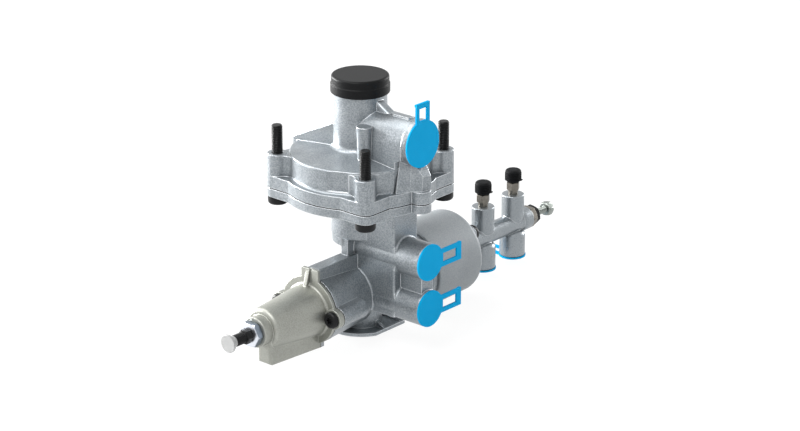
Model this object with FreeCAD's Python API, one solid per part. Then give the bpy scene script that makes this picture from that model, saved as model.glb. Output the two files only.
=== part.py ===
import FreeCAD, Part
import math
import os

from FreeCAD import Placement, Rotation, Vector

# All sizes are in millimetres. The origin is the centre of the four mounting studs, in the plane of
# the post tops. Z is the neck's axis. The long axis runs along Y below it, front towards -Y.

# Clearances that many pieces share
RUNNING = 0.05
SLIP = 0.1
REST_GAP = 0.3

# Flanges, posts and the bolts whose ends are the mounting studs
STUD_SPACING = 84.0
STUD_RADIUS = 4.0
STUD_TIP_Z = 20.9
STUD_CHAMFER = 0.8
SHANK_RADIUS = 3.6
BOLT_HOLE_CLEARANCE = 0.25
BOLT_HEAD_RADIUS = 7.3
BOLT_HEAD_HEIGHT = 6.2
BOLT_HEAD_DOME = 1.6
POST_RADIUS = 7.5
POST_TOP_Z = 0.0
POST_EDGE = 0.7
POST_WEB_FILLET = 6.0
FLANGE_LEDGE = 4.6
FLANGE_TOP_Z = -16.0
FLANGE_EDGE = 0.8
SPLIT_Z = -25.3
DIAPHRAGM_THICKNESS = 0.7
LOWER_FLANGE_THICKNESS = 6.4
LUG_RADIUS = 7.6
LUG_CENTRE_X = 56.7

# Upper housing: drum, domed top and neck
DRUM_RADIUS = 50.8
DRUM_RIM_Z = 0.8
DRUM_RIM_EDGE = 1.2
DRUM_BASE_FILLET = 2.0
DRUM_END_CUT = 3.3
DRUM_PANEL_TURN = -65.5
DRUM_PANEL_CUT = 0.9
DRUM_TOP_Z = 4.2
DRUM_WALL = 4.5
NECK_RADIUS = 19.25
NECK_FOOT_RADIUS = 24.0
NECK_FOOT_FILLET = 4.0
NECK_WALL = 3.75
NECK_FLOOR_Z = 9.0
NECK_FLOOR_THICKNESS = 4.0
NECK_PASSAGE_RADIUS = 7.0

# Upper port, its pedestal and the small cast forms around it
UPPER_PORT_Z = 18.3
UPPER_PORT_RADIUS = 17.3
UPPER_PORT_FACE_X = 57.5
UPPER_PORT_BLOCK_X = (18.0, 47.0)
UPPER_PORT_BLOCK_UNDER_Z = (6.2, 8.5)
UPPER_PORT_EDGE = 0.8
UPPER_PORT_RING = 5.0
UPPER_PORT_STEP = 0.5
UPPER_PORT_PAD_X = (33.5, 48.5)
UPPER_PORT_PAD_Y = (-3.8, 1.4)
UPPER_PORT_PAD_RISE = 0.8
PEDESTAL_FOOT = ((46.0, -15.0), (49.8, -18.6), (54.5, -9.5), (60.8, -3.4),
                 (62.4, 5.5), (55.5, 11.0), (49.8, 18.6), (46.0, 15.0))
PEDESTAL_HEAD = ((46.0, -9.0), (46.9, -10.9), (51.5, -3.5), (60.4, -0.8),
                 (60.1, 4.9), (51.5, 5.5), (46.9, 10.9), (46.0, 9.0))
PEDESTAL_HEAD_Z = 8.0
PEDESTAL_SLOPE_FROM = (57.0, -0.1)
PEDESTAL_SLOPE = 1.3
GUSSET_THICKNESS = 8.0
GUSSET_EDGE = 2.5
GUSSET_TOP_Z = 41.8
GUSSET_REACH_X = 29.5
VENT_BOSS_AT = (20.5, -19.0)
VENT_BOSS_TOP_Z = 27.5
VENT_BOSS_TOP_RADIUS = 5.6
VENT_BOSS_FOOT_RADIUS = 4.7
VENT_BOSS_FACET = 5.2
BACK_DUCT_Y = (-15.0, 4.0)
BACK_DUCT_END_INSET = 1.2
BACK_DUCT_LOW = (-53.0, 2.5)
BACK_DUCT_HIGH = (-14.0, 21.0)

# Neck cap and the pilot valve under it
CAP_TOP_Z = 57.5
CAP_BOTTOM_Z = 44.6
CAP_RADIUS = 20.7
CAP_BEAD_RADIUS = 21.3
CAP_BEAD_TOP_Z = 51.0
CAP_TOP_WALL = 1.7
CAP_EDGE = 1.8
PILOT_PISTON_HEIGHT = 6.0
PILOT_SCREW_HEIGHT = 6.0
PILOT_SCREW_TOP_GAP = 2.0
PILOT_SCREW_KEY = 5.0
PILOT_TRAVEL = 4.0

# Ports and their push-in plugs: thread core radius, depth
UPPER_BORE_RADIUS = 10.25
UPPER_BORE_DEPTH = 17.0
SMALL_BORE_RADIUS = 7.25
SMALL_BORE_DEPTH = 14.0
UPPER_PASSAGE_RADIUS = 6.0
SIDE_PASSAGE_RADIUS = 5.0
PLUG_DISC_THICKNESS = 1.4
PLUG_STEM_WALL = 1.2
PLUG_STEM_LENGTH = 9.0
UPPER_PLUG_RADIUS = 17.3
SIDE_PLUG_RADIUS = 13.5
BELLOWS_PLUG_RADIUS = 10.4
UPPER_LOOP = {"reach": 12.8, "width": 14.0, "bar": 3.0, "grip": 3.6}
SMALL_LOOP = {"reach": 20.0, "width": 13.4, "bar": 3.3, "grip": 5.0}

# Rolled fold of the diaphragm and the control piston inside it
DIAPHRAGM_ROLL_WIDTH = 9.0
DIAPHRAGM_ROLL_HEIGHT = 4.0
DIAPHRAGM_ROLL_ROUND = 3.0
DIAPHRAGM_INNER_ROUND = 2.2
DIAPHRAGM_ROLL_CLEARANCE = 1.0
CONTROL_PISTON_THICKNESS = 4.0
CONTROL_PISTON_VANES = 12
CONTROL_VANE_HEIGHT = 9.0
CONTROL_TRAVEL = 2.0

# Lower housing: collar, column, side ports
AXIS_Z = -105.4
COLLAR_RADIUS = 21.4
COLLAR_BOTTOM_Z = -61.7
COLLAR_BAND_RADIUS = 20.9
COLLAR_BAND_BOTTOM_Z = -67.6
COLUMN_X = (-6.0, 43.0)
COLUMN_HALF_WIDTH = 12.8
COLUMN_BOTTOM_Z = -113.5
COLUMN_EDGE = 1.5
COLUMN_RIB_X = (-1.1, 5.0)
COLUMN_RIB_FRONT_Y = -20.0
ROOT_FILLET = 1.5
SIDE_PORT_RADIUS = 13.5
SIDE_PORT_FACE_X = 65.0
SIDE_PORT_UPPER_Z = -69.0
SIDE_PORT_LOWER_Z = -104.3
SIDE_PORT_WEB_X = 63.0
SIDE_PORT_WEB_HALF = 6.0
DISH_RADIUS = 40.0
DISH_DEPTH = 3.0

# Front spring barrel of the lower housing and what is screwed to it
GASKET_Y = -54.0
GASKET_THICKNESS = 0.8
BARREL_ROOT_RADIUS = 22.7
BARREL_RADIUS = 25.3
BARREL_RIM_REACH = 3.0
DUCT_X = (-3.2, 8.2)
DUCT_TOP_Z = -73.8
DUCT_EDGE = 0.9
DUCT_FILLET = 3.0
PAD_X = (-6.0, 9.8)
PAD_TOP_Z = -73.6
PAD_GROOVE_X = (1.6, 3.8)
PAD_GROOVE_Z = -84.0
PAD_GROOVE_DEPTH = 1.3
COVER_SCREW_X = 25.6
SCREW_LOBE_RADIUS = 7.3
SCREW_LOBE_LENGTH = 27.0
COVER_SCREW_RADIUS = 3.0
COVER_SCREW_LENGTH = 18.0
PAN_HEAD_RADIUS = 6.0
PAN_HEAD_HEIGHT = 3.6
PAN_HEAD_DOME = 1.6
SPRING_BORE_RADIUS = 17.0
SPRING_BORE_END_Y = -22.0

# Exhaust under the lower housing
EXHAUST_BOSS_RADIUS = 15.0
EXHAUST_BORE_RADIUS = 8.0
EXHAUST_SEAT_RADIUS = 13.0
EXHAUST_SEAT_DEPTH = 8.0
EXHAUST_PLATE_RADIUS = 27.0
EXHAUST_PLATE_X = 24.5
EXHAUST_PLATE_BACK_Y = 20.0
EXHAUST_PLATE_THICKNESS = 1.6
EXHAUST_BOTTOM_Z = -133.2
EXHAUST_RIM_WIDTH = 1.8
EXHAUST_RIM_HEIGHT = 0.9
EXHAUST_RIBS = 4
EXHAUST_RIB_THICKNESS = 2.0
EXHAUST_RIB_HEIGHT = 5.0
FLAP_THICKNESS = 1.6
FLAP_RING_HEIGHT = 1.6
FLAP_RING_BORE = 9.0

# Regulator cover
COVER_RIM_THICKNESS = 2.4
COVER_BOSS_THICKNESS = 4.6
COVER_CONE_RADIUS = 19.5
COVER_CONE_END_RADIUS = 15.0
COVER_SHOULDER_Y = -104.5
COVER_SHOULDER_ROUND = 3.0
COVER_NOSE_RADIUS = 11.2
COVER_NOSE_Y = -112.0
COVER_WALL = 4.0
COVER_FOOT_FILLET = 2.0
COVER_BLOCK_X = (-3.0, 9.5)
COVER_BLOCK_END_Y = -106.0
COVER_BLOCK_END_Z = -130.0
COVER_BLOCK_RIM_Z = -132.6
COVER_BLOCK_EDGE = 2.0
COVER_RIB_X = (-1.4, 1.6)
COVER_RIB_END_Y = -61.0

# Adjusting screw, its locknut and end cap
ADJUSTER_RADIUS = 4.3
ADJUSTER_CLEARANCE = 0.06
ADJUSTER_COLLAR_ACROSS_FLATS = 9.6
ADJUSTER_COLLAR_END_Y = -123.5
ADJUSTER_END_Y = -137.0
ADJUSTER_INNER_Y = -90.0
ADJUSTER_PLATE_RADIUS = 9.0
ADJUSTER_PLATE_THICKNESS = 3.0
LOCKNUT_ACROSS_FLATS = 17.0
LOCKNUT_HEIGHT = 6.0
LOCKNUT_CHAMFER = 1.0
END_CAP_RADIUS = 6.6
END_CAP_LENGTH = 1.8
END_CAP_SKIRT = 4.0

# Relay piston, relay valve and tappet on the neck axis
RELAY_RADIUS = 15.5
RELAY_TOP_Z = -37.0
RELAY_THICKNESS = 7.0
RELAY_CHAMBER_BOTTOM_Z = -56.0
RELAY_STEM_RADIUS = 5.4
RELAY_TRAVEL = 3.0
RELAY_SEAL_WIRE = 1.2
VALVE_CHAMBER_RADIUS = 9.6
SEAT_RADIUS = 6.4
SEAT_Z = -77.5
SEAT_THICKNESS = 1.6
VALVE_RADIUS = 8.6
VALVE_HEAD_THICKNESS = 3.4
VALVE_STEM_RADIUS = 4.4
VALVE_FLOOR_Z = -93.0
TAPPET_RADIUS = 2.5
TAPPET_TOP_Z = -29.0
SUPPLY_DUCT_X = 24.0
SUPPLY_DUCT_Z = -86.5

# Load rod, cam, piston and balance spring on the long axis
ROD_RADIUS = 5.0
CAM_BORE_RADIUS = 10.0
CAM_BORE_END_Y = 24.0
CAM_RADIUS = 8.6
CAM_START_Y = -9.0
CAM_END_Y = 22.0
CAM_FLAT_Z = 3.0
CAM_SLOPE = 0.16
LOAD_TRAVEL = 12.0
ROD_FRONT_Y = -38.0
PLATE_RADIUS = 12.5
PLATE_THICKNESS = 4.0
SPRING_WIRE = 1.5
SPRING_RADIUS = 8.6
SPRING_TURNS = 6
LOAD_PISTON_Y = (80.0, 92.0)
LOAD_PISTON_SEAL_WIRE = 1.5
GUIDE_LENGTH = 12.0
GUIDE_OUTER_RADIUS = 10.0

# Rear cylinder and its seat on the lower housing
REAR_NECK_RADIUS = 21.0
REAR_FLANGE_RADIUS = 31.0
REAR_FLANGE_Y = (45.0, 50.0)
REAR_SPIGOT_LENGTH = 4.0
CYLINDER_FRONT_RADIUS = 33.0
CYLINDER_BACK_RADIUS = 31.8
CYLINDER_BACK_Y = 102.0
CYLINDER_BACK_ROUND = 5.0
CYLINDER_WALL = 3.0
CYLINDER_BACK_WALL = 5.0

# Signal manifold behind the rear cylinder
MANIFOLD_GASKET_THICKNESS = 0.8
MANIFOLD_BASE_THICKNESS = 3.2
MANIFOLD_BASE_RADIUS = 19.0
MANIFOLD_SPIGOT_RADIUS = 9.0
MANIFOLD_SPIGOT_LENGTH = 4.0
MANIFOLD_SCREW_CIRCLE = 21.4
MANIFOLD_EAR_RADIUS = 5.9
MANIFOLD_TUBE_RADIUS = 7.5
MANIFOLD_TUBE_BORE = 3.5
CROSS_TUBE_Y = (138.3, 174.2)
CROSS_TUBE_TOP_Z = -81.3
CROSS_TUBE_FOOT_Z = -103.0
CROSS_TUBE_RADIUS = 8.7
BELLOWS_PORT_RADIUS = 9.9
BELLOWS_PORT_FACE_Z = -130.5
BELLOWS_PORT_DOME_Z = -112.0
MANIFOLD_HUB_RADIUS = 8.9
MANIFOLD_HUB_START_Y = 180.0
MANIFOLD_HUB_LENGTH = 10.3

# Test valves with their caps
TEST_VALVE_BORE = 3.5
TEST_VALVE_NECK_RADIUS = 3.8
TEST_VALVE_NECK_HEIGHT = 3.6
TEST_VALVE_ACROSS_FLATS = 9.0
TEST_VALVE_HEX_HEIGHT = 6.0
TEST_VALVE_TOP_HEIGHT = 7.0
TEST_VALVE_TOP_RADIUS = 3.4
TEST_VALVE_DEPTH = 8.0
TEST_CAP_RADIUS = 6.8
TEST_CAP_TOP_RADIUS = 6.3
TEST_CAP_HEIGHT = 12.4
TEST_CAP_ROUND = 2.4
TEST_CAP_TAPER = 2.0
TEST_CAP_FOOT_RADIUS = 5.2

# Manifold end: hexagon plug, seal ring and adjusting bolt
END_PLUG_ACROSS_FLATS = 15.0
END_PLUG_LENGTH = 5.3
END_PLUG_SPIGOT_LENGTH = 6.0
END_PLUG_SPIGOT_RADIUS = 6.0
END_SEAL_ACROSS_FLATS = 14.0
END_SEAL_THICKNESS = 3.8
END_BOLT_RADIUS = 3.0
END_BOLT_DEPTH = 7.8
END_BOLT_STAND_OUT = 14.1
END_BOLT_ACROSS_FLATS = 10.0
END_BOLT_HEAD_HEIGHT = 6.0

# Values worked out from those above
HALF_SPACING = STUD_SPACING / 2
SPLIT_TOP_Z = SPLIT_Z + DIAPHRAGM_THICKNESS / 2
SPLIT_BOTTOM_Z = SPLIT_Z - DIAPHRAGM_THICKNESS / 2
LOWER_FLANGE_Z = SPLIT_BOTTOM_Z - LOWER_FLANGE_THICKNESS
FLANGE_RADIUS = DRUM_RADIUS + FLANGE_LEDGE
DRUM_END_X = DRUM_RADIUS - DRUM_END_CUT
DRUM_PANEL_REACH = DRUM_RADIUS - DRUM_PANEL_CUT
BACK_DUCT_END_RADIUS = FLANGE_RADIUS - BACK_DUCT_END_INSET
CAVITY_RADIUS = DRUM_RADIUS - DRUM_WALL
DIAPHRAGM_ROLL_RADIUS = CAVITY_RADIUS - DIAPHRAGM_ROLL_CLEARANCE
CONTROL_PISTON_RADIUS = DIAPHRAGM_ROLL_RADIUS - DIAPHRAGM_ROLL_WIDTH - REST_GAP
MANIFOLD_HUB_Y = (MANIFOLD_HUB_START_Y, MANIFOLD_HUB_START_Y + MANIFOLD_HUB_LENGTH)
END_PLUG_Y = MANIFOLD_HUB_Y[1] + END_PLUG_LENGTH
END_SEAL_Y = END_PLUG_Y + END_SEAL_THICKNESS
END_BOLT_INNER_Y = MANIFOLD_HUB_Y[1] - END_BOLT_DEPTH
END_BOLT_HEAD_Y = END_SEAL_Y + END_BOLT_STAND_OUT
NECK_BORE_RADIUS = NECK_RADIUS - NECK_WALL
NECK_TOP_Z = CAP_TOP_Z - CAP_TOP_WALL - SLIP
BODY_GASKET_Y = GASKET_Y + GASKET_THICKNESS / 2
COVER_GASKET_Y = GASKET_Y - GASKET_THICKNESS / 2
COVER_BOSS_Y = COVER_GASKET_Y - COVER_BOSS_THICKNESS
RELAY_BOTTOM_Z = RELAY_TOP_Z - RELAY_THICKNESS
SEAT_BOTTOM_Z = SEAT_Z - SEAT_THICKNESS
VALVE_TOP_Z = SEAT_BOTTOM_Z - RUNNING
TAPPET_BORE_RADIUS = TAPPET_RADIUS + SLIP * 2
CYLINDER_BORE_RADIUS = CYLINDER_BACK_RADIUS - CYLINDER_WALL
MANIFOLD_FRONT_Y = CYLINDER_BACK_Y + MANIFOLD_GASKET_THICKNESS
MANIFOLD_BACK_Y = MANIFOLD_FRONT_Y + MANIFOLD_BASE_THICKNESS
EXHAUST_PLATE_Z = EXHAUST_BOTTOM_Z + EXHAUST_PLATE_THICKNESS
CAM_TOUCH_Z = AXIS_Z + CAM_FLAT_Z
STUD_PLACES = [(sx * HALF_SPACING, sy * HALF_SPACING) for sx in (-1, 1) for sy in (-1, 1)]
UP = Vector(0, 0, 1)
RIGHT = Vector(1, 0, 0)
BACK = Vector(0, 1, 0)


def bar(radius, start, end):
    """Round bar between two points."""
    run = end - start
    return Part.makeCylinder(radius, run.Length, start, run)


def taper(start_radius, end_radius, start, end):
    """Round bar that narrows or widens between two points."""
    run = end - start
    return Part.makeCone(start_radius, end_radius, run.Length, start, run)


def block(x, y, z):
    """Box from three pairs of limits."""
    return Part.makeBox(x[1] - x[0], y[1] - y[0], z[1] - z[0], Vector(x[0], y[0], z[0]))


def outline(points):
    """Closed wire through (point, rounding) pairs, each corner rounded by an arc of that radius."""
    count = len(points)
    starts, ends, middles = [], [], []
    for index, (corner, rounding) in enumerate(points):
        before = (points[index - 1][0] - corner).normalize()
        after = (points[(index + 1) % count][0] - corner).normalize()
        if rounding == 0:
            starts.append(corner)
            ends.append(corner)
            middles.append(None)
            continue
        half = before.getAngle(after) / 2
        reach = rounding / math.tan(half)
        inward = (before + after).normalize()
        starts.append(corner + before * reach)
        ends.append(corner + after * reach)
        middles.append(corner + inward * (rounding / math.sin(half) - rounding))
    edges = []
    for index in range(count):
        if middles[index] is not None:
            edges.append(Part.Arc(starts[index], middles[index], ends[index]).toShape())
        following = starts[(index + 1) % count]
        if ends[index].distanceToPoint(following) > 1e-6:
            edges.append(Part.LineSegment(ends[index], following).toShape())
    return Part.Wire(edges)


def prism(points, run):
    """Solid swept along run from an outline of (point, rounding) pairs."""
    return Part.Face(outline(points)).extrude(run)


def turned(profile, direction=UP, origin=Vector(0, 0, 0)):
    """Solid of revolution from (radius, distance along the axis, rounding) triples."""
    points = [(Vector(radius, 0, along), rounding) for radius, along, rounding in profile]
    solid = Part.Face(outline(points)).revolve(Vector(0, 0, 0), UP, 360)
    solid.Placement = Placement(origin, Rotation(UP, direction))
    return solid


def hexagon(across_flats, start, end, hollow=0.0, chamfer=0.0, turn=0.0):
    """Hexagonal bar between two points, with its corners turned off by a chamfer if given."""
    run = end - start
    corner = across_flats / math.sqrt(3)
    flat = [Vector(corner * math.cos(math.radians(turn + 60 * step)),
                   corner * math.sin(math.radians(turn + 60 * step)), 0) for step in range(6)]
    solid = prism([(point, 0) for point in flat], UP * run.Length)
    if chamfer:
        inner = across_flats / 2
        reach = (corner - inner) * 0.6
        solid = solid.common(turned([(0, 0, 0), (inner, 0, 0), (corner, reach, 0),
                                     (corner, run.Length - reach, 0), (inner, run.Length, 0),
                                     (0, run.Length, 0)]))
    if hollow:
        solid = solid.cut(Part.makeCylinder(hollow, run.Length))
    solid.Placement = Placement(start, Rotation(UP, run))
    return solid


def joined(first, *others):
    """All the given solids as one, with split faces merged again after each."""
    solid = first
    for other in others:
        solid = solid.fuse(other).removeSplitter()
    return solid


def cut_from(solid, *tools):
    """The solid less all the given tools, one after the other."""
    for tool in tools:
        solid = solid.cut(tool)
    return solid.removeSplitter()


def long_axis(y, x=0.0):
    """Point on the long axis at the given y."""
    return Vector(x, y, AXIS_Z)


def root_fillet(radius, size, direction, origin):
    """Ring with a concave side, where a round boss leaves the wall that it stands on."""
    return turned([(0, -1, 0), (radius + size, -1, 0), (radius + size, 0, 0), (radius, 0, size * 0.98),
                   (radius, size * 1.2, 0), (0, size * 1.2, 0)], direction, origin)


def flange(bottom, top):
    """Flange plate: a disc, the stud square with rounded corners and the lug, as one prism."""
    side = HALF_SPACING + POST_RADIUS
    corners = [(Vector(sx * side, sy * side, bottom), POST_RADIUS)
               for sx, sy in ((-1, -1), (1, -1), (1, 1), (-1, 1))]
    height = UP * (top - bottom)
    disc = bar(FLANGE_RADIUS, Vector(0, 0, bottom), Vector(0, 0, top))
    lug = bar(LUG_RADIUS, Vector(LUG_CENTRE_X, 0, bottom), Vector(LUG_CENTRE_X, 0, top))
    lug_root = block((0, LUG_CENTRE_X), (-LUG_RADIUS, LUG_RADIUS), (bottom, top))
    return joined(prism(corners, height), disc, lug, lug_root)


def stud_holes(bottom, top):
    """Clearance holes for the four bolts."""
    radius = STUD_RADIUS + BOLT_HOLE_CLEARANCE
    return [bar(radius, Vector(x, y, bottom), Vector(x, y, top)) for x, y in STUD_PLACES]


def post_web(x, y):
    """Web that fills the nip between a post and the drum, with concave sides."""
    distance = math.hypot(x, y)
    reach_drum = DRUM_RADIUS + POST_WEB_FILLET
    reach_post = POST_RADIUS + POST_WEB_FILLET
    along = (reach_drum ** 2 - reach_post ** 2 + distance ** 2) / (2 * distance)
    aside = math.sqrt(reach_drum ** 2 - along ** 2)
    outward = Vector(x, y, 0).normalize()
    sideways = Vector(-outward.y, outward.x, 0)
    base = Vector(0, 0, FLANGE_TOP_Z)
    centres = [base + outward * along + sideways * aside * side for side in (1, -1)]
    post = base + outward * distance
    corners = []
    for centre in centres:
        corners.append([base + (centre - base) * (DRUM_RADIUS / reach_drum),
                        post + (centre - post) * (POST_RADIUS / reach_post)])
    ring = [corners[0][0], corners[0][1], corners[1][1], corners[1][0]]
    web = prism([(point, 0) for point in ring], UP * (POST_TOP_Z - POST_EDGE - FLANGE_TOP_Z))
    return cut_from(web, *[bar(POST_WEB_FILLET, centre, centre + UP * (POST_TOP_Z - FLANGE_TOP_Z))
                           for centre in centres])


def upper_port_boss():
    """Upper port: a round boss on a square-shouldered block that stands on the drum."""
    centre = Vector(0, 0, UPPER_PORT_Z)
    barrel = UPPER_PORT_RADIUS - UPPER_PORT_STEP
    ring_x = UPPER_PORT_FACE_X - UPPER_PORT_RING
    boss = turned([(0, 0, 0), (barrel, 0, 0), (barrel, ring_x, 0), (UPPER_PORT_RADIUS, ring_x + UPPER_PORT_STEP, 0),
                   (UPPER_PORT_RADIUS, UPPER_PORT_FACE_X, UPPER_PORT_EDGE), (0, UPPER_PORT_FACE_X, 0)],
                  RIGHT, centre)
    start_x, drum_x = UPPER_PORT_BLOCK_X
    near_z, far_z = UPPER_PORT_BLOCK_UNDER_Z
    foot = block(UPPER_PORT_BLOCK_X, (-barrel, barrel), (FLANGE_TOP_Z, UPPER_PORT_Z))
    drum = bar(DRUM_RADIUS - DRUM_RIM_EDGE, Vector(0, 0, FLANGE_TOP_Z), centre)
    shoulder = prism([(Vector(start_x, -barrel, near_z), 0), (Vector(drum_x, -barrel, near_z), 0),
                      (Vector(ring_x, -barrel, far_z), 0), (Vector(ring_x, -barrel, UPPER_PORT_Z), 0),
                      (Vector(start_x, -barrel, UPPER_PORT_Z), 0)], BACK * (2 * barrel))
    pad = block(UPPER_PORT_PAD_X, UPPER_PORT_PAD_Y, (UPPER_PORT_Z, UPPER_PORT_Z + barrel + UPPER_PORT_PAD_RISE))
    return joined(boss, shoulder, foot.common(drum), pad)


def pedestal():
    """Prow under the upper port: it runs out to the lug, narrows upward and slopes off at the tip."""
    levels = []
    for plan, z in ((PEDESTAL_FOOT, FLANGE_TOP_Z), (PEDESTAL_HEAD, PEDESTAL_HEAD_Z)):
        corners = [Vector(x, y, z) for x, y in plan]
        levels.append(Part.makePolygon(corners + corners[:1]))
    body = Part.makeLoft(levels, True, True)
    from_x, from_z = PEDESTAL_SLOPE_FROM
    reach = POST_RADIUS * 2
    width = FLANGE_RADIUS / 2
    top = Vector(from_x - reach, -width, from_z + reach * PEDESTAL_SLOPE)
    low = Vector(from_x + reach, -width, from_z - reach * PEDESTAL_SLOPE)
    slope = prism([(top, 0), (low, 0), (Vector(low.x, -width, top.z), 0)], BACK * (2 * width))
    return body.cut(slope)


def gusset():
    """Triangular rib with rounded edges between the neck and the top of the upper port boss."""
    half = GUSSET_THICKNESS / 2
    foot_z = UPPER_PORT_Z + UPPER_PORT_RADIUS - 3
    start = Vector(NECK_RADIUS - NECK_WALL, 0, GUSSET_TOP_Z)
    ridge = [(Vector(start.x, -half, foot_z), 0), (Vector(GUSSET_REACH_X + 3, -half, foot_z), 0),
             (Vector(GUSSET_REACH_X, -half, foot_z + 3), 1.0), (Vector(NECK_RADIUS, -half, GUSSET_TOP_Z), 0),
             (Vector(start.x, -half, GUSSET_TOP_Z + 1), 0)]
    body = prism(ridge, BACK * GUSSET_THICKNESS)
    slant = Vector(GUSSET_REACH_X - NECK_RADIUS, 0, foot_z + 3 - GUSSET_TOP_Z).normalize()
    drop = slant.cross(BACK) * -1
    if drop.z > 0:
        drop = drop * -1
    over = Vector(NECK_RADIUS, 0, GUSSET_TOP_Z) - slant * GUSSET_THICKNESS
    corners = [(over + BACK * -half, GUSSET_EDGE), (over + BACK * half, GUSSET_EDGE),
               (over + BACK * half + drop * GUSSET_REACH_X, 0), (over - BACK * half + drop * GUSSET_REACH_X, 0)]
    return body.common(prism(corners, slant * (GUSSET_REACH_X * 2)))


def back_duct():
    """Cast duct on the back of the drum: its flat top slopes up to the neck."""
    (low_x, low_z), (high_x, high_z) = BACK_DUCT_LOW, BACK_DUCT_HIGH
    start_y, end_y = BACK_DUCT_Y
    points = [(Vector(low_x - FLANGE_EDGE * 4, start_y, FLANGE_TOP_Z), 0), (Vector(0, start_y, FLANGE_TOP_Z), 0),
              (Vector(0, start_y, high_z), 0), (Vector(high_x, start_y, high_z), 0),
              (Vector(low_x, start_y, low_z), 2.0), (Vector(low_x - FLANGE_EDGE * 4, start_y, low_z - 2), 0)]
    body = prism(points, BACK * (end_y - start_y))
    return body.common(bar(BACK_DUCT_END_RADIUS, Vector(0, 0, FLANGE_TOP_Z), Vector(0, 0, high_z + 1)))


def make_upper_housing():
    """Die-cast upper housing: flange, posts, drum, neck, port boss, ribs; hollow inside."""
    shell = turned([(0, FLANGE_TOP_Z - 1, 0), (DRUM_RADIUS + DRUM_BASE_FILLET, FLANGE_TOP_Z - 1, 0),
                    (DRUM_RADIUS + DRUM_BASE_FILLET, FLANGE_TOP_Z, 0),
                    (DRUM_RADIUS, FLANGE_TOP_Z, DRUM_BASE_FILLET * 0.98),
                    (DRUM_RADIUS, DRUM_RIM_Z, DRUM_RIM_EDGE), (NECK_FOOT_RADIUS, DRUM_TOP_Z, 0),
                    (NECK_RADIUS, DRUM_TOP_Z + 0.3, NECK_FOOT_FILLET), (NECK_RADIUS, NECK_TOP_Z, 0),
                    (0, NECK_TOP_Z, 0)])
    plate = flange(SPLIT_TOP_Z, FLANGE_TOP_Z)
    posts = [turned([(0, FLANGE_TOP_Z - 1, 0), (POST_RADIUS, FLANGE_TOP_Z - 1, 0),
                     (POST_RADIUS, POST_TOP_Z, POST_EDGE), (0, POST_TOP_Z, 0)], UP, Vector(x, y, 0))
             for x, y in STUD_PLACES]
    webs = [post_web(x, y) for x, y in STUD_PLACES]
    beyond = DRUM_RADIUS + DRUM_BASE_FILLET + 1
    shell = shell.cut(block((DRUM_END_X, beyond), (-beyond, beyond), (FLANGE_TOP_Z, NECK_TOP_Z)))
    panel = block((DRUM_PANEL_REACH, beyond), (-beyond, beyond),
                  (FLANGE_TOP_Z + DRUM_BASE_FILLET, DRUM_TOP_Z))
    panel.rotate(Vector(0, 0, 0), UP, DRUM_PANEL_TURN)
    shell = shell.cut(panel)
    vent = taper(VENT_BOSS_FOOT_RADIUS, VENT_BOSS_TOP_RADIUS, Vector(*VENT_BOSS_AT, 0),
                 Vector(*VENT_BOSS_AT, VENT_BOSS_TOP_Z))
    facet = block((0, VENT_BOSS_FACET * 3), (-VENT_BOSS_FACET * 2, VENT_BOSS_FACET * 2), (-1, VENT_BOSS_TOP_Z + 1))
    facet.rotate(Vector(0, 0, 0), UP, -60)
    facet.translate(Vector(*VENT_BOSS_AT, 0) + Rotation(UP, -60).multVec(RIGHT * VENT_BOSS_FACET))
    vent = vent.cut(facet)
    body = joined(plate, shell, upper_port_boss(), pedestal(), gusset(), back_duct(), vent, *posts, *webs)
    ceiling = DRUM_RIM_Z - DRUM_WALL
    cavity = turned([(0, SPLIT_TOP_Z - 1, 0), (CAVITY_RADIUS, SPLIT_TOP_Z - 1, 0), (CAVITY_RADIUS, ceiling, 2.0),
                     (NECK_FOOT_RADIUS, DRUM_TOP_Z - DRUM_WALL, 0),
                     (NECK_PASSAGE_RADIUS, DRUM_TOP_Z - DRUM_WALL + 1, 0),
                     (NECK_PASSAGE_RADIUS, NECK_FLOOR_Z, 0),
                     (NECK_BORE_RADIUS, NECK_FLOOR_Z, 0), (NECK_BORE_RADIUS, NECK_TOP_Z + 1, 0),
                     (0, NECK_TOP_Z + 1, 0)])
    port = bar(UPPER_BORE_RADIUS, Vector(UPPER_PORT_FACE_X - UPPER_BORE_DEPTH, 0, UPPER_PORT_Z),
               Vector(UPPER_PORT_FACE_X + 1, 0, UPPER_PORT_Z))
    passage = bar(UPPER_PASSAGE_RADIUS, Vector(0, 0, UPPER_PORT_Z), Vector(UPPER_PORT_FACE_X, 0, UPPER_PORT_Z))
    return cut_from(body, cavity, port, passage, *stud_holes(SPLIT_TOP_Z - 1, POST_TOP_Z + 1))


def make_diaphragm():
    """Rubber diaphragm clamped between the flanges, with a rolled fold round the control piston."""
    sheet = flange(SPLIT_BOTTOM_Z, SPLIT_TOP_Z)
    opening = DIAPHRAGM_ROLL_RADIUS - DIAPHRAGM_ROLL_WIDTH
    roll_top = SPLIT_TOP_Z + DIAPHRAGM_ROLL_HEIGHT
    roll = turned([(opening, SPLIT_TOP_Z, 0), (DIAPHRAGM_ROLL_RADIUS, SPLIT_TOP_Z, 0),
                   (DIAPHRAGM_ROLL_RADIUS, roll_top, DIAPHRAGM_ROLL_ROUND), (opening, roll_top, DIAPHRAGM_ROLL_ROUND)])
    near, far = opening + DIAPHRAGM_THICKNESS, DIAPHRAGM_ROLL_RADIUS - DIAPHRAGM_THICKNESS
    under = turned([(near, SPLIT_BOTTOM_Z - 1, 0), (far, SPLIT_BOTTOM_Z - 1, 0),
                    (far, roll_top - DIAPHRAGM_THICKNESS, DIAPHRAGM_INNER_ROUND),
                    (near, roll_top - DIAPHRAGM_THICKNESS, DIAPHRAGM_INNER_ROUND)])
    return cut_from(joined(sheet, roll), under, *stud_holes(SPLIT_BOTTOM_Z - 1, SPLIT_TOP_Z + 1))


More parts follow.
